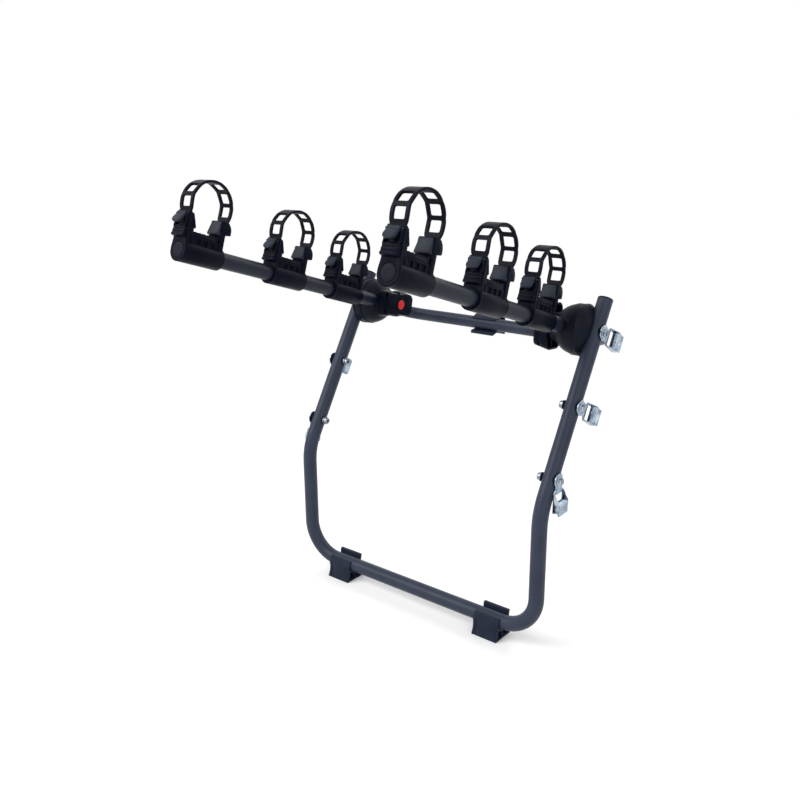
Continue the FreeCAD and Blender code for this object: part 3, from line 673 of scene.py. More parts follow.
FINISHES = (
    POWDER_COAT,
    # A darker copy of the frame's powder coat for the arm tubes: painted shade, standing in for the shade
    # that the arms sit in under the cradles.
    replace(POWDER_COAT, name="arm_powder_coat", colour=(0.014, 0.018, 0.030),
            shade=(0.011, 0.014, 0.024), rubbed=(0.065, 0.069, 0.082), specular=0.14),
    replace(MOULDING, name="hub_moulding", colour=(0.0080, 0.0098, 0.0176),
            shade=(0.0060, 0.0074, 0.0134), rubbed=(0.032, 0.036, 0.048), roughness=0.40,
            specular=0.06),
    MOULDING,
    replace(MOULDING, name="grey_moulding", colour=(0.017, 0.022, 0.036),
            shade=(0.013, 0.017, 0.028), rubbed=(0.045, 0.052, 0.070), roughness=0.44,
            dust=0.010, specular=0.12),
    Finish("pad_rubber", "foot_rubber", Grain.RUBBER, (0.013, 0.019, 0.036),
           (0.0095, 0.014, 0.028), (0.035, 0.042, 0.060), 0.52, 0.08, wear=0.3, dust=0.015,
           bump=0.18, fine=900.0, coarse=45.0, specular=0.12),
    Finish("strap_rubber", "strap_rubber", Grain.RUBBER, (0.0040, 0.0052, 0.0118),
           (0.0030, 0.0039, 0.0088), (0.026, 0.030, 0.040), 0.36, 0.08, wear=0.3, dust=0.006,
           bump=0.1, fine=1300.0, coarse=70.0, specular=0.05),
    Finish("bright_zinc", "zinc", Grain.PLATED, (0.44, 0.50, 0.56), (0.17, 0.24, 0.34),
           (0.72, 0.76, 0.80), 0.20, 0.06, metallic=1.0, wear=0.3, dust=0.005, bump=0.05,
           fine=2200.0, coarse=75.0, specular=0.5),
    STEEL,
    replace(STEEL, name="blackened_steel", colour=(0.020, 0.022, 0.028),
            shade=(0.014, 0.016, 0.020), rubbed=(0.08, 0.085, 0.095), roughness=0.34, wear=0.2),
    Finish("red_cap", "red_cap", Grain.MOULDED, (0.62, 0.020, 0.018), (0.54, 0.016, 0.014),
           (0.70, 0.10, 0.09), 0.32, 0.06, wear=0.3, dust=0.01, bump=0.06,
           fine=1700.0, coarse=90.0, specular=0.3),
)

# Nodes that are shown as they are, by finish
BARE_NODES = {
    "charcoal_powder_coat": ("lower_frame_tube", "upper_frame_tube"),
    # The arm tubes wear the darker copy of the frame coat, which is painted shade.
    "arm_powder_coat": ("left_arm_tube", "right_arm_tube"),
    "plated_steel": ("hub_bolts", "bolt_washers"),
    "blackened_steel": ("left_cradle_pins", "right_cradle_pins"),
}


@dataclass
class Paintbox:
    """All materials of the rack."""

    materials: dict[str, bpy.types.Material] = field(default_factory=dict)
    slots: dict[str, str] = field(default_factory=dict)

    def mix(self) -> None:
        """Build the shared groups and every finish."""
        groups = {"wear": wear_group(), "grain": grain_group(), "dust": dust_group()}
        for finish in FINISHES:
            self.materials[finish.name] = finish.material(groups)
            self.slots[finish.name] = finish.slot
            LOG.info("finish %s, %s", finish.name, finish.grain.value)

    def settle(self, piece: Piece, finish: str, body: str, node: str) -> None:
        """Dress a finished piece and let it ride on its body in place of its node.

        Args:
            piece: the piece, in its place.
            finish: the name of its finish.
            body: the body that carries it.
            node: the modelled node that it stands for.
        """
        dress(piece, self.materials[finish])
        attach(piece, body)
        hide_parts(node)
        LOG.info("%s: %d faces, rides on %s", piece.name, len(piece.data.polygons), body)

    def dress_nodes(self, nodes: dict[str, Piece]) -> None:
        """Dress the nodes that no new piece stands for."""
        for finish, names in BARE_NODES.items():
            for name in names:
                dress(nodes[name], self.materials[finish])
                LOG.info("%s wears %s", name, finish)


# Tube ends

@dataclass
class EndCaps:
    """Moulded caps in the open ends of the legs and arms."""

    radius: float = RACK.tube_radius
    thickness: float = 3.0
    edge: float = 1.1
    face_radius: float = 13.8
    face_end: float = 4.9
    stem: tuple[Point, ...] = ((-12, 0), (-12, 12.6), (-8, 13.2), (0.15, 13.2))

    def leg_cap(self) -> Piece:
        """A plain cap that faces along +X from the tube's end at x = 0."""
        radius, far = self.radius, self.thickness
        return smooth(lathe([
            *self.stem, (0.15, radius - 0.2), (0.5, radius), (far - self.edge, radius),
            (far - 0.3, radius - 0.8), (far, radius - 2.0), (far + 0.2, radius * 0.5), (far + 0.3, 0),
        ]))

    def arm_cap(self) -> Piece:
        """A cap whose smaller face stands in the rim of the outer cradle's front plate."""
        face, end = self.face_radius, self.face_end
        return smooth(lathe([
            *self.stem, (0.15, self.radius), (self.thickness, self.radius), (self.thickness, face),
            (end - 0.7, face), (end - 0.25, face - 0.5), (end - 0.05, face - 1.5),
            (end, face * 0.5), (end, 0),
        ]))

    def build(self, paints: Paintbox) -> None:
        """Make the leg caps as one piece and a cap for each arm."""
        caps = [seat(turn_upright(self.leg_cap(), "Z"), side.value * RACK.leg_x,
                     RACK.leg_point(RACK.leg_end), -RACK.lean) for side in Side]
        paints.settle(join("leg_caps", caps), "black_moulding", "lower_frame", "leg_end_plugs")
        for side in Side:
            piece = turn_about(turn_upright(self.arm_cap(), "Y"))
            seat(piece, side.value * RACK.arm_x, RACK.arm_point(RACK.arm_length), -RACK.rise)
            piece.name = side.word + "_arm_cap"
            paints.settle(piece, "hub_moulding", side.word + "_arm", side.word + "_arm_plug")


# Feet and the upper pad

@dataclass
class Foot:
    """A rubber channel clipped round a tube, with hollow ends and a lip."""

    bore: float
    base: float = -35.0
    half: float = 29.0
    pocket: float = 14.0

    def outline(self) -> list[Point]:
        """Corners of the section, in the tube's frame."""
        bore = self.bore
        slant = bore * math.sqrt(0.5)
        return [
            (27, self.base), (25.3, self.base + 4.5),
            *bow((24.5, self.base + 9), (bore + 3.2, -4), -40, 4),
            (bore + 6.3, bore - 6), (bore + 8.5, bore + 2.5), (bore + 2.2, bore + 2.5),
            *arc((0, 0), bore, 0, -225, 20), (-slant - 2.6, slant + 2.6),
            *bow((-bore - 5.4, -3), (-26, self.base), -45, 6),
        ]

    def hollow(self, end: int) -> Piece:
        """The hollow under the tube at one end."""
        outline = [
            (-22.4, self.base + 3), (22.5, self.base + 3), (20.5, self.base + 10),
            (16.0, -self.bore + 1), *arc((0, 0), self.bore + 3.2, -54, -126, 8),
            (-16.4, -self.bore + 1), (-18.2, self.base + 10),
        ]
        return prism(outline, end * (self.half - self.pocket), end * (self.half + 1))

    def web(self, end: int) -> Piece:
        """A rib that stands in the hollow."""
        return block(-1.2, 1.2, self.base + 2, -self.bore - 2,
                     end * (self.half - self.pocket), end * (self.half - 1.5))

    def groove(self, across: float) -> Piece:
        """A shallow groove down the front face."""
        face = bow((-self.bore - 4.5, -3), (-25, self.base - 1), -45, 6)
        return prism([(-45, 2), *face, (-45, self.base - 1)], across - 0.5, across + 0.5)

    def model(self) -> Piece:
        """The foot about its tube's axis."""
        body = cut(prism(self.outline(), -self.half, self.half), self.hollow(1), self.hollow(-1),
                   *[self.groove(k) for k in (5 - self.half, 8 - self.half, self.half - 4)])
        return join("foot", [round_edges(body, 0.8, 2, 40), self.web(1), self.web(-1)])


@dataclass
class Feet:
    """The two lower feet and the pad on the upper bar."""

    spacing: float = 195.0
    pad_offset: float = -35.0
    reach: float = 135.7

    def build(self, paints: Paintbox) -> None:
        """Make the lower feet and the upper pad."""
        lower = Foot(RACK.tube_seat).model()
        for side in Side:
            foot = copy_of(lower, side.word + "_rubber_foot")
            seat(foot, side.value * self.spacing, (0, RACK.bar_height), 0)
            paints.settle(foot, "pad_rubber", "lower_frame", side.word + "_foot")
        bpy.data.objects.remove(lower)
        pad = turn_about(Foot(RACK.upper_seat).model())
        pad.name = "rubber_upper_pad"
        hub_y, hub_z = RACK.hub
        angle = math.radians(RACK.droop)
        place = (hub_y + self.reach * math.cos(angle), hub_z - self.reach * math.sin(angle))
        seat(pad, self.pad_offset, place, 90)
        paints.settle(pad, "pad_rubber", "upper_frame", "upper_pad")


# Hubs and knobs

@dataclass
class Hub:
    """Disc on the leg, ring of the upper frame and drum of the arm, on one bolt."""

    disc_inner: float = 271.5
    disc_outer: float = 293.0
    disc_bore: float = 5.4
    radius: float = 50.0
    ring_inner: float = 254.3
    ring_outer: float = 271.2
    drum_inner: float = 208.3
    drum_outer: float = 254.0
    bore: float = 5.1
    steps: int = 72

    def disc(self) -> Piece:
        """The domed disc with a groove for the leg."""
        rim, bore = self.radius + 1, self.disc_bore
        low, high = self.disc_inner, self.disc_outer
        piece = lathe([
            (low, bore), (high, bore), *bow((high, 22), (low + 4, rim - 0.5), 60, 12),
            (low + 3.4, rim - 0.1), (low + 2.6, rim), (low + 0.9, rim), (low + 0.3, rim - 0.3),
            (low, rim - 1), (low, bore),
        ], self.steps)
        return smooth(cut(piece, tube_space(-80, 80, "Z", RACK.leg_x)), 30)

    def ring(self) -> Piece:
        """The plain ring with the socket of the upper tube."""
        rim, bore = self.radius, self.bore
        low, high = self.ring_inner, self.ring_outer
        turned = smooth(lathe([
            (low, bore), (high, bore), (high, rim - 1.2), (high - 0.35, rim - 0.35),
            (high - 1.2, rim), (low + 1.6, rim), (low + 0.5, rim - 0.5), (low, rim - 1.6),
            (low, bore),
        ], self.steps), 30)
        socket = round_edges(block(42, 55.9, -13.4, 13.4, low + 0.4, high - 0.4), 1.6, 3)
        spigot = turn_upright(lathe([(51, 0), (51, 11.7), (81, 11.7), (83, 10.6), (83, 0)], 40), "Y")
        return join("ring", [turned, socket, smooth(shift(spigot, 265.5, 0, 0))])

    def drum(self) -> Piece:
        """The arm's drum, drawn in to a neck, with a bore that holds the tube's end."""
        rim, bore = self.radius - 1.5, self.bore
        low, high = self.drum_inner, self.drum_outer
        piece = lathe([
            (low, bore), (high, bore), (high, rim - 1.2), (high - 0.4, rim - 0.3), (high - 1.3, rim),
            *bow((high - 3, rim - 0.5), (high - 30.5, 31), 45, 10), (low + 4.4, 28.6),
            (low + 2.2, 27.4), (low + 0.6, 25.8), (low, 24.4), (low, bore),
        ], self.steps)
        return smooth(cut(piece, tube_space(-90, 24.3, "Y", RACK.arm_x)), 30)

    def build(self, paints: Paintbox) -> None:
        """Make both hubs."""
        for maker, name, body, node, turn in (
                (self.disc, "hub_disc_cover", "lower_frame", "hub_disc", -RACK.lean),
                (self.ring, "hub_ring_cover", "upper_frame", "hub_ring", -RACK.droop),
                (self.drum, "arm_drum", "", "arm_hub", -RACK.rise)):
            first = seat(maker(), 0, RACK.hub, turn)
            for side in Side:
                piece = copy_of(first, side.word + "_" + name)
                if side is Side.LEFT:
                    mirror_over(piece)
                paints.settle(piece, "hub_moulding", body or side.word + "_arm", side.word + "_" + node)
            bpy.data.objects.remove(first)


@dataclass
class Knob:
    """Hollow oblong clamping knob with a bevelled face and a round cap."""

    half_length: float = 46.0
    half_width: float = 29.0
    corner: float = 16.0
    pinch: float = 1.6
    front: float = 176.0
    back: float = 207.5
    wall: float = 4.0
    slope: float = 6.0
    bolt_bore: float = 5.1

    def oblong(self, inset: float) -> list[Point]:
        """The knob's outline, smaller by an inset, with pinched long sides."""
        far = self.half_length - inset
        high = self.half_width - inset
        bend = max(self.corner - inset, 2)
        points: list[Point] = []
        for way_y, way_z, start in ((1, 1, 0), (-1, 1, 90), (-1, -1, 180), (1, -1, 270)):
            points += arc((way_y * (far - bend), way_z * (high - bend)), bend, start, start + 90, 8)
            if start in (0, 180):
                middle = way_z * (high - self.pinch)
                points += [(way_y * 12, way_z * high), (way_y * 5, middle), (-way_y * 5, middle),
                           (-way_y * 12, way_z * high)]
        return points

    def handle(self) -> Piece:
        """The handle about the bolt, long along Y."""
        front, back = self.front, self.back
        shell = prism(self.oblong(0), front, back)
        edit_some(shell, "FACE", lambda face: face.normal.x < -0.9)
        size = (1, 1 - self.slope / self.half_length, 1 - self.slope / self.half_width)
        bpy.ops.transform.resize(value=size, center_override=(front * MM, 0, 0))
        close_edit()
        hollow = prism(self.oblong(self.wall), front + 9, back + 1)
        cut(shell, hollow, rod(front - 3, front + 2, 16.3))
        round_edges(shell, 1.3, 3, 32, 40)
        bore = self.bolt_bore
        boss = smooth(lathe([(back - 24, bore), (back + 0.4, bore), (back + 0.4, 12.4),
                             (back - 0.2, 13), (back - 24, 13), (back - 24, bore)], 40))
        ribs = [seat(block(11, reach - 2, -1.2, 1.2, front + 7, back - 3), 0, (0, 0), angle)
                for angle, reach in ((0, self.half_length), (90, self.half_width),
                                     (180, self.half_length), (270, self.half_width))]
        return join("handle", [shell, boss, *ribs])

    def ring(self) -> Piece:
        """The dark ring of the cap."""
        face = self.front
        return smooth(lathe([
            (face + 1.6, 10.7), (face - 0.9, 10.7), (face - 1.2, 11.2), (face - 1.2, 14.6),
            (face - 0.5, 15.7), (face + 0.4, 16), (face + 1.9, 16), (face + 1.9, 10.7),
            (face + 1.6, 10.7),
        ], 56))

    def inlay(self) -> Piece:
        """The plain coloured inlay of the cap."""
        face = self.front
        return smooth(lathe([(face + 1.6, 0), (face + 1.6, 10.4), (face - 0.6, 10.4),
                             (face - 1.0, 9.9), (face - 1.15, 8), (face - 1.2, 0)], 56))

    def build(self, paints: Paintbox) -> None:
        """Make both knobs, each at the angle where it was left."""
        for side, turn in ((Side.RIGHT, 85.0), (Side.LEFT, -10.0)):
            for maker, name, finish, node in (
                    (self.handle, "_knob_handle", "black_moulding", "_knob"),
                    (self.ring, "_cap_ring", "black_moulding", "_knob_cap"),
                    (self.inlay, "_cap_inlay", "red_cap", "_knob_cap")):
                piece = seat(maker(), 0, RACK.hub, turn)
                if side is Side.LEFT:
                    mirror_over(piece)
                piece.name = side.word + name
                paints.settle(piece, finish, side.word + "_knob", side.word + node)


# Cradles, straps and latches, in a frame on the arm: X across, Y towards the hub, Z up

@dataclass
class Cradle:
    """Sleeve on the arm tube, deck and two towers."""

    sleeve_radius: float = 20.5
    sleeve_half: float = 44.0
    half_width: float = 15.8
    shield_half: float = 17.0
    shield_face: float = -46.4
    shield_back: float = -40.4
    deck: float = 27.0
    tower: float = 68.0
    slot_half: float = 14.4

    def sleeve(self) -> Piece:
        """Sleeve round the tube, with softened ends."""
        half, radius, seat_radius = self.sleeve_half, self.sleeve_radius, RACK.tube_seat
        piece = lathe([
            (-half, seat_radius), (half, seat_radius), (half, radius - 1.4), (half - 0.6, radius - 0.5),
            (half - 1.6, radius), (4 - half, radius), (0.4 - half, radius - 0.6),
            (-half, radius - 1), (-half, seat_radius),
        ], 56)
        return smooth(turn_upright(piece, "Y"), 30)

    def shield(self) -> Piece:
        """The tall front plate: a rim round the cap, then up to the strap's shoulders."""
        half, top = self.shield_half, self.tower + 1.2
        plate = prism([
            *arc((0, 0), self.sleeve_radius, 190, 350, 24), (19.9, 6), (17.8, 18), (half, 28),
            (half, top - 3), (half - 0.9, top - 0.8), (half - 3, top), (3 - half, top),
            (0.9 - half, top - 0.8), (-half, top - 3), (-half, 28), (-17.8, 18), (-19.9, 6),
        ], self.shield_face, self.shield_back, "XZ")
        cap_hole = lathe([(-50, 0), (-50, 14.4), (-45.1, 14.4), (-45.1, 15.4), (-38, 15.4),
                          (-38, 0)], 56)
        strap_slot = block(-44.7, -38, 43, 75, -self.slot_half, self.slot_half)
        window = block(-12, 12, 48, 65.6, -50, -43, "XZ")
        cut(plate, turn_upright(cap_hole, "Y"), strap_slot, window)
        return round_edges(plate, 0.7, 3, 35)

    def side_plate(self, way: int) -> Piece:
        """One cheek beside the thumb tab."""
        return round_edges(prism([
            (-45.6, 40), (-52.4, 40), (-51.6, 46), (-50.6, 60), (-49.6, 64.4), (-47.6, 66.4),
            (-45.6, 66.8),
        ], way * 12.2, way * self.half_width), 0.6)

    def ridged_block(self) -> Piece:
        """The stepped wedge under the thumb tab."""
        return round_edges(prism([
            (-45.4, 21.2), (-45.4, 42.6), (-50.6, 42.6), (-51.6, 40.6), (-52.0, 37.4),
            (-51.2, 36.4), (-52.9, 33.2), (-53.1, 31.6), (-52.2, 30.6), (-54.2, 27.4),
            (-54.8, 25.4), (-54.2, 24.2), (-50.0, 22.8),
        ], -self.half_width, self.half_width), 0.5, 2, 24)

    def tower_core(self) -> Piece:
        """The body of the front tower, set back behind the shield."""
        outline = [(-41, 10), (-41, 42.6), (-31, 42.6), (-29.4, 24), (-29.4, 10)]
        return round_edges(prism(outline, -14.6, 14.6), 0.5, 2, 35)

    def inner_pad(self) -> Piece:
        """The wedge on the bicycle's side of the front tower, wider at its foot."""
        outline = [(-39.4, 42), (-39.4, 66.4), (-36.6, 67.4), (-33.8, 65.8), (-27.2, 47.0),
                   (-26.2, 43.6), (-27.4, 41.4), (-32, 40)]
        return round_edges(prism(outline, -14.2, 14.2), 0.9, 3, 30)

    def rear_tower(self) -> Piece:
        """The post that carries the strap's anchor."""
        post = prism([
            (34, 2), (34, 67.2), (28.4, 68), (26.6, 62), (25.4, 46), (26.8, 42), (26.8, 2),
        ], -14.0, 14.0)
        pockets = [block(24, 29.4, 33, 39.5, low, low + 10) for low in (-11.6, 1.6)]
        return round_edges(cut(post, *pockets), 0.6, 2, 35)

    def rear_cheek(self, way: int) -> Piece:
        """One plate beside the strap's anchor, with the boss of the anchor pin."""
        cheek = prism([
            (27.6, 2), (27.6, 42), (27, 47), (29, 66), (30.5, 68), (34, 67.8), (43.6, 66.2),
            (48.6, 60.0), (50.6, 54.0), (50.8, 46.4), (49.6, 44.8), (38.6, 43.0), (38, 2),
        ], way * self.slot_half, way * (self.half_width + 0.7))
        boss = lathe([(0, 0), (0, 4.6), (0.9, 4.3), (1.2, 3.6), (1.2, 0)], 32)
        if way < 0:
            mirror_over(boss)
        shift(boss, way * (self.half_width - 0.4), 42.2, 52)
        return join("cheek", [round_edges(cheek, 0.5, 2, 35), smooth(boss)])

    def rear_pad(self) -> Piece:
        """The lighter trapezoid pad that faces the bicycle tube."""
        outline = [(27.2, 66.6), (21.6, 44.6), (22.2, 42), (26.2, 41.2), (31, 44), (31, 66.6)]
        pad = prism(outline, -15.6, 15.6)
        edit_some(pad, "VERT", lambda vertex: vertex.co.z > 0.06)
        bpy.ops.transform.resize(value=(0.86, 1, 1), center_override=(0, 0, 0))
        close_edit()
        return round_edges(pad, 1.0, 3, 30)

    def deck_block(self) -> Piece:
        """The deck between the towers, with three recesses in each side."""
        half = self.half_width
        deck = block(-33, 29, 8, self.deck - 0.2, 0.4 - half, half - 0.4)
        recesses = [block(start, start + 13, 14, 23.5, way * (half - 3), way * (half + 2))
                    for way in (1, -1) for start in (-26, -10.5, 5)]
        return round_edges(cut(deck, *recesses), 0.5, 2, 35)

    def model(self) -> Piece:
        """The dark shell about the cradle's own origin."""
        return join("shell", [
            self.sleeve(), self.shield(), self.side_plate(1), self.side_plate(-1),
            self.ridged_block(), self.tower_core(), self.inner_pad(), self.rear_tower(),
            self.rear_cheek(1), self.rear_cheek(-1), self.deck_block()])


@dataclass
class LadderStrap:
    """Rubber ladder strap over a cradle."""

    leg_radius: float = 42.2
    loop_radius: float = 44.5
    centre: float = 86.0
    shoulder: float = 70.0
    foot: float = 48.0
    thickness: float = 4.4
    leg_half: float = 13.6
    hole_half: float = 10.8
    corner: float = 4.0
    hole_length: float = 18.5
    hole_angles: tuple[float, ...] = (180.0, 147.0, 66.0, 33.0, 0.0)

    @property
    def leg(self) -> float:
        """Length of the straight leg inside a tower."""
        return self.shoulder - self.foot

    @property
    def lead(self) -> float:
        """Length from the foot to the start of the arch."""
        return self.leg + math.hypot(self.centre - self.shoulder, self.loop_radius - self.leg_radius)

    @property
    def length(self) -> float:
        """Whole length of the middle line from foot to foot."""
        return 2 * self.lead + math.pi * self.loop_radius

    def path(self, distance: float) -> Point:
        """A point of the strap's middle line.

        Args:
            distance: millimetres from the front foot along the strap.

        Returns:
            Its Y and Z in millimetres.
        """
        nearest = min(distance, self.length - distance)
        way = -1 if distance < self.length / 2 else 1
        if nearest <= self.leg:
            return way * self.leg_radius, self.foot + nearest
        if nearest <= self.lead:
            share = (nearest - self.leg) / (self.lead - self.leg)
            spread = self.loop_radius - self.leg_radius
            return (way * (self.leg_radius + share * spread),
                    self.shoulder + share * (self.centre - self.shoulder))
        angle = math.pi - (distance - self.lead) / self.loop_radius
        return self.loop_radius * math.cos(angle), self.centre + self.loop_radius * math.sin(angle)

    def holes(self) -> list[float]:
        """Middle of each ladder hole, in millimetres along the strap."""
        return [self.lead + math.radians(180 - angle) * self.loop_radius
                for angle in self.hole_angles]

    def rows(self) -> list[tuple[float, float]]:
        """Rows of the flat net as (distance, half width)."""
        half = self.hole_length / 2
        holes = self.holes()
        rows = [(0.0, self.leg_half), (10.0, self.leg_half), (self.leg - 1.0, self.leg_half),
                (self.leg + 2.6, 16.2)]
        for index, hole in enumerate(holes):
            rows += [(hole - half, 16.5), (hole - half + self.corner, 17.0),
                     (hole + half - self.corner, 17.0), (hole + half, 16.5)]
            if index + 1 < len(holes):
                gap = holes[index + 1] - hole - self.hole_length
                shares = (0.5,) if gap < self.hole_length else (0.12, 0.3, 0.5, 0.7, 0.88)
                rows += [(hole + half + gap * share, 15.9) for share in shares]
        rear = self.length
        rows += [(rear - self.leg - 2.6, 16.2), (rear - self.leg + 1.0, self.leg_half),
                 (rear - 10.0, self.leg_half), (rear - 1.0, self.leg_half)]
        return rows

    def net(self) -> Piece:
        """The strap's thin middle sheet, five columns wide, with open holes."""
        places = [(*self.path(distance), half) for distance, half in self.rows()]
        inner = self.hole_half
        start_y, start_z, half = places[0]
        across = [-half, -inner, self.corner - inner, inner - self.corner, inner, half]
        piece = draw_line([(x, start_y) for x in across], "XY", start_z)
        place = Vector((0, start_y, start_z))
        for along, up, _ in places[1:]:
            following = Vector((0, along, up))
            bpy.ops.mesh.extrude_region_move(
                TRANSFORM_OT_translate={"value": (following - place) * MM})
            place = following
        close_edit()
        for vertex in piece.data.vertices:
            along, up = vertex.co.y / MM, vertex.co.z / MM
            row = min(places, key=lambda spot: abs(spot[0] - along) + abs(spot[1] - up))
            if abs(vertex.co.x) > (inner + 1) * MM:
                vertex.co.x = math.copysign(row[2] * MM, vertex.co.x)
        for hole in self.holes():
            self.open_hole(piece, *self.path(hole))
        return piece

    def open_hole(self, piece: Piece, along: float, up: float) -> None:
        """Delete the middle faces round one place."""
        def near(face: bpy.types.MeshPolygon) -> bool:
            """Whether a face lies in the hole."""
            reach = math.hypot(face.center.y / MM - along, face.center.z / MM - up)
            return reach < self.hole_length / 2 and abs(face.center.x) < self.hole_half * MM

        edit_some(piece, "FACE", near)
        bpy.ops.mesh.delete(type="FACE")
        close_edit()

    def tail(self) -> Piece:
        """The thick flared end below the anchor pin."""
        outline = [(39.8, 45.2), (50.2, 45.2), (51.2, 46.6), (51, 48.4), (46.4, 55), (44.4, 60),
                   (39.8, 60)]
        return round_edges(prism(outline, -13.2, 13.2), 0.9, 3, 30)

    def model(self) -> Piece:
        """The strap about its cradle's origin."""
        strap = self.net()
        apply_modifier(strap, "SUBSURF", levels=2, render_levels=2, boundary_smooth="ALL")
        apply_modifier(strap, "SOLIDIFY", thickness=self.thickness * MM, offset=0.0)
        bevel(strap, 0.8, 2, 50)
        edit_all(strap)
        turn_normals_out()
        close_edit()
        return join("strap", [smooth(strap, 50), self.tail()])


@dataclass
class Latch:
    """Thumb tab on a pin between the plates of the front tower."""

    pivot: Point = (-49.0, 63.0)
    tilt: float = -36.0
    half_width: float = 11.6
    tip: float = -12.2
    curl: float = -0.4
    bend: float = 7.5

    def model(self) -> Piece:
        """The tab about its cradle's origin."""
        width, tip, bend = self.half_width, self.tip, self.bend
        tab = prism([
            (-width, 3.4), (-width, tip), *arc((bend - width, tip), bend, 180, 250, 6),
            *arc((width - bend, tip), bend, 290, 360, 6), (width, 3.4),
        ], -2.3, 2.3, "XZ")
        edit_some(tab, "VERT", lambda vertex: vertex.co.z < -12 * MM)
        bpy.ops.transform.translate(value=(0, self.curl * MM, 0))
        close_edit()
        pivot_y, pivot_z = self.pivot
        seat(round_edges(tab, 0.9, 3, 35), 0, (pivot_y - 1.0, pivot_z - 1.2), self.tilt)
        barrel = lathe([(-11.2, 1.4), (-11.2, 3.4), (-10.8, 3.8), (10.8, 3.8), (11.2, 3.4),
                        (11.2, 1.4), (-11.2, 1.4)], 32)
        return join("latch", [tab, smooth(shift(barrel, 0, pivot_y, pivot_z))])


@dataclass
class SaddlePad:
    """Ribbed rubber pad on a cradle's deck."""

    front: float = -30.6
    rear: float = 26.6
    deck: float = 27.0
    top: float = 36.0
    ribs: int = 6
    rib: tuple[Point, ...] = ((0, 3.2), (0.18, 0.6), (0.32, 0), (0.62, 0), (0.78, 0.6), (0.94, 3.2))

    def model(self) -> Piece:
        """The pad about its cradle's origin."""
        pitch = (self.rear - self.front) / self.ribs
        outline = [(self.front, self.deck), (self.rear, self.deck)]
        for k in range(self.ribs):
            start = self.rear - k * pitch
            outline += [(start - share * pitch, self.top - drop) for share, drop in self.rib]
        outline.append((self.front, self.top - 3.4))
        return round_edges(prism(outline, -14.5, 14.5), 0.7, 2, 40)


@dataclass
class Cradles:
    """All six cradles with their straps, latches and pads."""

    def build(self, paints: Paintbox) -> None:
        """Model each piece once and set a copy on every spot."""
        cradle = Cradle()
        kinds = ((cradle.model(), "cradle_shell", "black_moulding", "", "cradle"),
                 (cradle.rear_pad(), "cradle_face", "grey_moulding", "", "cradle"),
                 (LadderStrap().model(), "ladder", "strap_rubber", "strap", "strap"),
                 (Latch().model(), "thumb_tab", "grey_moulding", "latch", "latch"))
        pad = SaddlePad().model()
        for side in Side:
            arm = side.word + "_arm"
            pads = []
            for spot in Spot:
                start = side.word + "_" + spot.name.lower() + "_"
                for source, name, finish, body, node in kinds:
                    piece = self.place(source, start + name, side, spot)
                    paints.settle(piece, finish, start + body if body else arm, start + node)
                pads.append(self.place(pad, start + "pad", side, spot))
            joined = join(side.word + "_ribbed_pads", pads)
            paints.settle(joined, "strap_rubber", arm, side.word + "_saddle_pads")
        for piece in (*[kind[0] for kind in kinds], pad):
            bpy.data.objects.remove(piece)

    def place(self, source: Piece, name: str, side: Side, spot: Spot) -> Piece:
        """Set a copy of a piece on one cradle's spot."""
        return seat(copy_of(source, name), side.value * RACK.arm_x, RACK.arm_point(spot.value),
                    -RACK.rise)


# Buckles and fasteners on the legs, in a frame at the bolt: X outwards, Z up

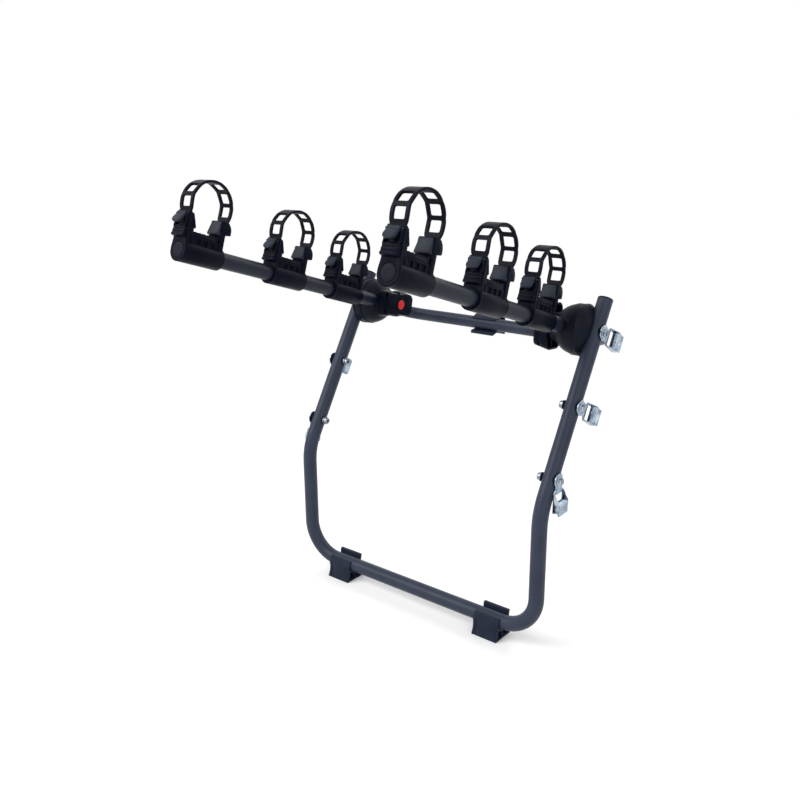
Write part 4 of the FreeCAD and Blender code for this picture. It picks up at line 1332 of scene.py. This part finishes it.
@dataclass
class CamBuckle:
    """Sheet metal buckle with a ridged lever."""

    plate_inner: float = 311.2
    plate_outer: float = 313.2
    half_width: float = 18.0
    end: float = -61.0
    ear: float = 15.0
    pivot_x: float = 319.7
    pivot_z: float = -44.0
    roller: float = 6.0
    teeth: int = 36
    ridges: int = 4
    cheek_top: float = 324.2
    cheek_wall: float = 1.8

    def plate(self, bolt_radius: float) -> Piece:
        """Ear and windowed plate."""
        half, end = self.half_width, self.end
        plate = prism([
            *arc((0, 0), self.ear, -35, 215, 28), (-12.3, -14.6), (-14.2, -17.6), (-half, -20),
            (-half, end + 4), (1.2 - half, end + 1.2), (4 - half, end), (half - 4, end),
            (half - 1.2, end + 1.2), (half, end + 4), (half, -20), (14.2, -17.6), (12.3, -14.6),
        ], self.plate_inner, self.plate_outer)
        window = block(-14.5, 14.5, -40, -24, self.plate_inner - 3, self.plate_outer + 3)
        cut(plate, window, rod(300, 330, bolt_radius + 0.1, 32))
        return round_edges(plate, 0.35, 2, 35)

    def cheek(self, way: int) -> list[Piece]:
        """One cheek with the rivet of the lever's pivot."""
        half, end, top, pivot = self.half_width, self.end, self.cheek_top, self.pivot_x
        cheek = prism([
            (self.plate_inner, -21), (self.plate_outer + 1, -21), (317.2, -26), (pivot, -32),
            (322.6, -36), (top, self.pivot_z + 5), (top, self.pivot_z - 5), (322.6, end + 7),
            (pivot, end + 3), (self.plate_inner, end + 5),
        ], way * (half - self.cheek_wall), way * half, "XZ")
        rivet = turn_upright(lathe([(0, 0), (0, 3.4), (0.5, 3.2), (0.9, 2.4), (1.0, 0)], 32), "Y")
        if way < 0:
            turn_about(rivet)
        shift(rivet, pivot, way * (half - 0.1), self.pivot_z)
        return [round_edges(cheek, 0.35, 2, 35), smooth(rivet)]

    def frame(self, bolt_radius: float) -> Piece:
        """The plate with its two cheeks."""
        return join("buckle", [self.plate(bolt_radius), *self.cheek(1), *self.cheek(-1)])

    def lever(self) -> Piece:
        """Knurled roller and ridged thumb plate."""
        half, end, pivot = self.half_width - 2.2, self.end, self.pivot_x
        teeth = []
        for k in range(self.teeth):
            radius = self.roller if k % 2 == 0 else self.roller - 0.7
            angle = 360 * k / self.teeth
            teeth += arc((pivot, self.pivot_z), radius, angle, angle, 1)[:1]
        roller = round_edges(prism(teeth, -half, half, "XZ"), 0.25, 1, 20, 20)
        face = pivot + 5
        thumb = [(pivot, -47), (pivot, -54), (pivot + 2, end - 2.4), (pivot + 3, end - 3),
                 (face, end - 2)]
        for k in range(self.ridges):
            low = end + 0.5 + k * 4
            crest = face - 0.3 * k
            thumb += [(crest, low), (crest + 1.2, low + 0.9), (crest + 1.3, low + 1.8),
                      (crest, low + 2.9)]
        thumb += [(pivot + 4.4, -44.2), (pivot + 3, -41)]
        return join("lever", [roller, round_edges(prism(thumb, -half, half, "XZ"), 0.5, 2, 25)])

    def build(self, paints: Paintbox) -> None:
        """Make the six buckles and their levers."""
        lever = self.lever()
        for spot in BoltSpot:
            distance, radius, hang = spot.value
            frame = self.frame(radius)
            for side in Side:
                start = side.word + "_" + spot.name.lower() + "_"
                for source, name, node in ((frame, "cam_frame", "buckle"),
                                           (lever, "cam_lever", "buckle_lever")):
                    piece = seat(copy_of(source, start + name), 0, RACK.leg_point(distance), hang)
                    if side is Side.LEFT:
                        mirror_over(piece)
                    paints.settle(piece, "bright_zinc", start + node, start + node)
            bpy.data.objects.remove(frame)
        bpy.data.objects.remove(lever)


@dataclass
class Fasteners:
    """Nuts, socket bolts and the plastic saddles on the legs."""

    nut_inner: float = 313.5
    nut_height: float = 6.5
    flange: float = 2.0
    head: float = 269.0
    bolt_end: float = 321.0
    washer_outer: float = 277.0
    saddle_face: float = 311.0
    outer_radius: float = 12.0
    inner_radius: float = 9.0

    def nut(self, radius: float) -> Piece:
        """A flanged hexagon nut with chamfered corners."""
        low, high = self.nut_inner, self.nut_inner + self.nut_height
        corners = arc((0, 0), radius * 1.8, 0, 300, 5)
        hexagon = prism(corners, low + self.flange / 2, high)
        cut(hexagon, rod(low - 1, high + 1, radius + 0.07, 32))
        bore, rim, top = radius + 0.1, radius * 2.5, low + self.flange
        collar = lathe([(low, bore), (low, rim - 0.3), (low + 0.4, rim), (low + 1, rim - 0.2),
                        (top, radius * 1.8), (top, bore), (low, bore)], 48)
        return join("nut", [round_edges(hexagon, 0.7, 2, 50), smooth(collar)])

    def bolt(self, radius: float) -> Piece:
        """A socket-head bolt with a turned head and a chamfered tip."""
        low, far = self.head, self.bolt_end
        sunk = radius * 0.8
        return smooth(lathe([
            (low + 4, 0), (low + 4, sunk), (low, sunk + 0.2), (low, radius * 1.55),
            (low + 0.5, radius * 1.72), (low + 1.2, radius * 1.8), (low + 6, radius * 1.8),
            (low + 6, radius), (far - 0.8, radius), (far, radius - 0.7), (far, 0),
        ], 40))

    def saddle(self, radius: float, inner: bool) -> Piece:
        """A round saddle between the leg and a washer or buckle."""
        bore, leg = radius + 0.4, RACK.leg_x
        if inner:
            wide, face = self.inner_radius, self.washer_outer
            profile = [(face, bore), (leg, bore), (leg, wide), (face + 1.2, wide),
                       (face + 0.3, wide - 0.3), (face, wide - 1), (face, bore)]
        else:
            wide, face = self.outer_radius, self.saddle_face
            profile = [(leg, bore), (face, bore), (face, wide - 1), (face - 0.3, wide - 0.3),
                       (face - 1.2, wide), (leg, wide), (leg, bore)]
        return smooth(cut(lathe(profile, 48), tube_space(-40, 40, "Z", leg)), 30)

    def build(self, paints: Paintbox) -> None:
        """Make the fasteners of both legs, joined by kind."""
        piles: dict[str, list[Piece]] = {"nuts": [], "bolts": [], "saddles": []}
        for spot in BoltSpot:
            distance, radius, _ = spot.value
            pieces = [(self.nut(radius), "nuts"), (self.saddle(radius, False), "saddles")]
            if spot is not BoltSpot.TOP:
                pieces += [(self.saddle(radius, True), "saddles"), (self.bolt(radius), "bolts")]
            for piece, pile in pieces:
                seat(piece, 0, RACK.leg_point(distance), -RACK.lean)
                piles[pile] += [piece, mirror_over(copy_of(piece, "twin"))]
        for pile, finish, node in (("nuts", "bright_zinc", "buckle_nuts"),
                                   ("bolts", "plated_steel", "leg_bolts"),
                                   ("saddles", "black_moulding", "leg_saddles")):
            paints.settle(join("leg_" + pile, piles[pile]), finish, "lower_frame", node)


# Studio

@dataclass
class Studio:
    """Floor, lamps, world and camera."""

    camera_place: tuple[float, float, float] = (1.01035, -1.29102, 0.9413)
    azimuth: float = 38.94
    elevation: float = 16.68
    roll: float = -0.44
    lens: float = 38.80
    sensor: float = 36.0
    floor_size: float = 14.0
    fade_start: float = 1.0
    fade_end: float = 2.4
    ambience: float = 0.74
    aim: tuple[float, float, float] = (0, 0, 0.45)
    lamps: tuple[tuple, ...] = (("key_lamp", (-1.6, -2.2, 2.6), 2.4, 80),
                                ("fill_lamp", (2.6, -1.2, 1.6), 2.0, 16),
                                ("rear_lamp", (0.4, 2.4, 2.4), 2.0, 24))

    def floor(self) -> None:
        """A pale floor that reads white to the camera and keeps the rack's shadow."""
        clear_selection()
        bpy.ops.mesh.primitive_plane_add(size=self.floor_size, location=(0, 0, -0.0005))
        floor = bpy.context.object
        floor.name = "studio_floor"
        material = bpy.data.materials.new("pale_floor")
        material.use_nodes = True
        tree = material.node_tree
        shader = tree.nodes["Principled BSDF"]
        feed(tree, shader, {"Base Color": (0.96, 0.96, 0.96, 1), "Roughness": 0.9})
        reach = add_node(tree, "VectorMath", {0: object_place(tree)}, operation="LENGTH")
        fade = stretch(tree, reach.outputs["Value"], self.fade_start, self.fade_end)
        clear = add_node(tree, "BsdfTransparent", {})
        blend = add_node(tree, "MixShader", {0: fade, 1: shader.outputs["BSDF"],
                                             2: clear.outputs["BSDF"]})
        feed(tree, tree.nodes["Material Output"], {"Surface": blend.outputs["Shader"]})
        dress(floor, material)

    def world(self) -> None:
        """A white surround for the camera and an even light for the rack."""
        world = bpy.data.worlds.new("studio")
        bpy.context.scene.world = world
        world.use_nodes = True
        tree = world.node_tree
        rays = add_node(tree, "LightPath", {}).outputs
        mirrored = combine(tree, "ADD", rays["Is Glossy Ray"], rays["Is Transmission Ray"])
        seen = add_node(tree, "Math", {0: rays["Is Camera Ray"], 1: mirrored}, operation="ADD",
                        use_clamp=True)
        strength = add_node(tree, "MapRange", {"Value": seen.outputs["Value"],
                                               "To Min": self.ambience, "To Max": 1.0})
        feed(tree, tree.nodes["Background"], {"Color": (1, 1, 1, 1),
                                              "Strength": strength.outputs["Result"]})

    def light(self) -> None:
        """Soft lamps that look at the rack's middle."""
        for name, place, size, power in self.lamps:
            clear_selection()
            bpy.ops.object.light_add(type="AREA", location=place)
            lamp = bpy.context.object
            lamp.name = name
            lamp.data.size = size
            lamp.data.energy = power
            way = Vector(self.aim) - Vector(place)
            lamp.rotation_euler = way.to_track_quat("-Z", "Y").to_euler()

    def camera(self) -> None:
        """The camera at the photograph's place."""
        clear_selection()
        bpy.ops.object.camera_add(location=self.camera_place)
        camera = bpy.context.object
        az, el = math.radians(self.azimuth), math.radians(self.elevation)
        back = Vector((math.sin(az) * math.cos(el), -math.cos(az) * math.cos(el), math.sin(el)))
        turn = (-back).to_track_quat("-Z", "Y").to_matrix().to_4x4()
        turn = turn @ Matrix.Rotation(math.radians(self.roll), 4, "Z")
        camera.rotation_euler = turn.to_euler()
        camera.data.lens = self.lens
        camera.data.sensor_width = self.sensor
        camera.data.clip_end = 50
        bpy.context.scene.camera = camera

    def build(self) -> None:
        """Set up the studio."""
        self.floor()
        self.world()
        self.light()
        self.camera()
        bpy.context.scene.view_settings.view_transform = "Standard"


def main() -> None:
    """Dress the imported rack."""
    logging.basicConfig(level=logging.INFO, format="%(name)s: %(message)s")
    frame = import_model()
    clear_selection()
    paints = Paintbox()
    paints.mix()
    makers: Iterable[Callable[[Paintbox], None]] = (
        EndCaps().build, Feet().build, Hub().build, Knob().build, Cradles().build,
        CamBuckle().build, Fasteners().build)
    for make in makers:
        make(paints)
    paints.dress_nodes(frame["nodes"])
    Studio().build()


if __name__ == "__main__":
    main()
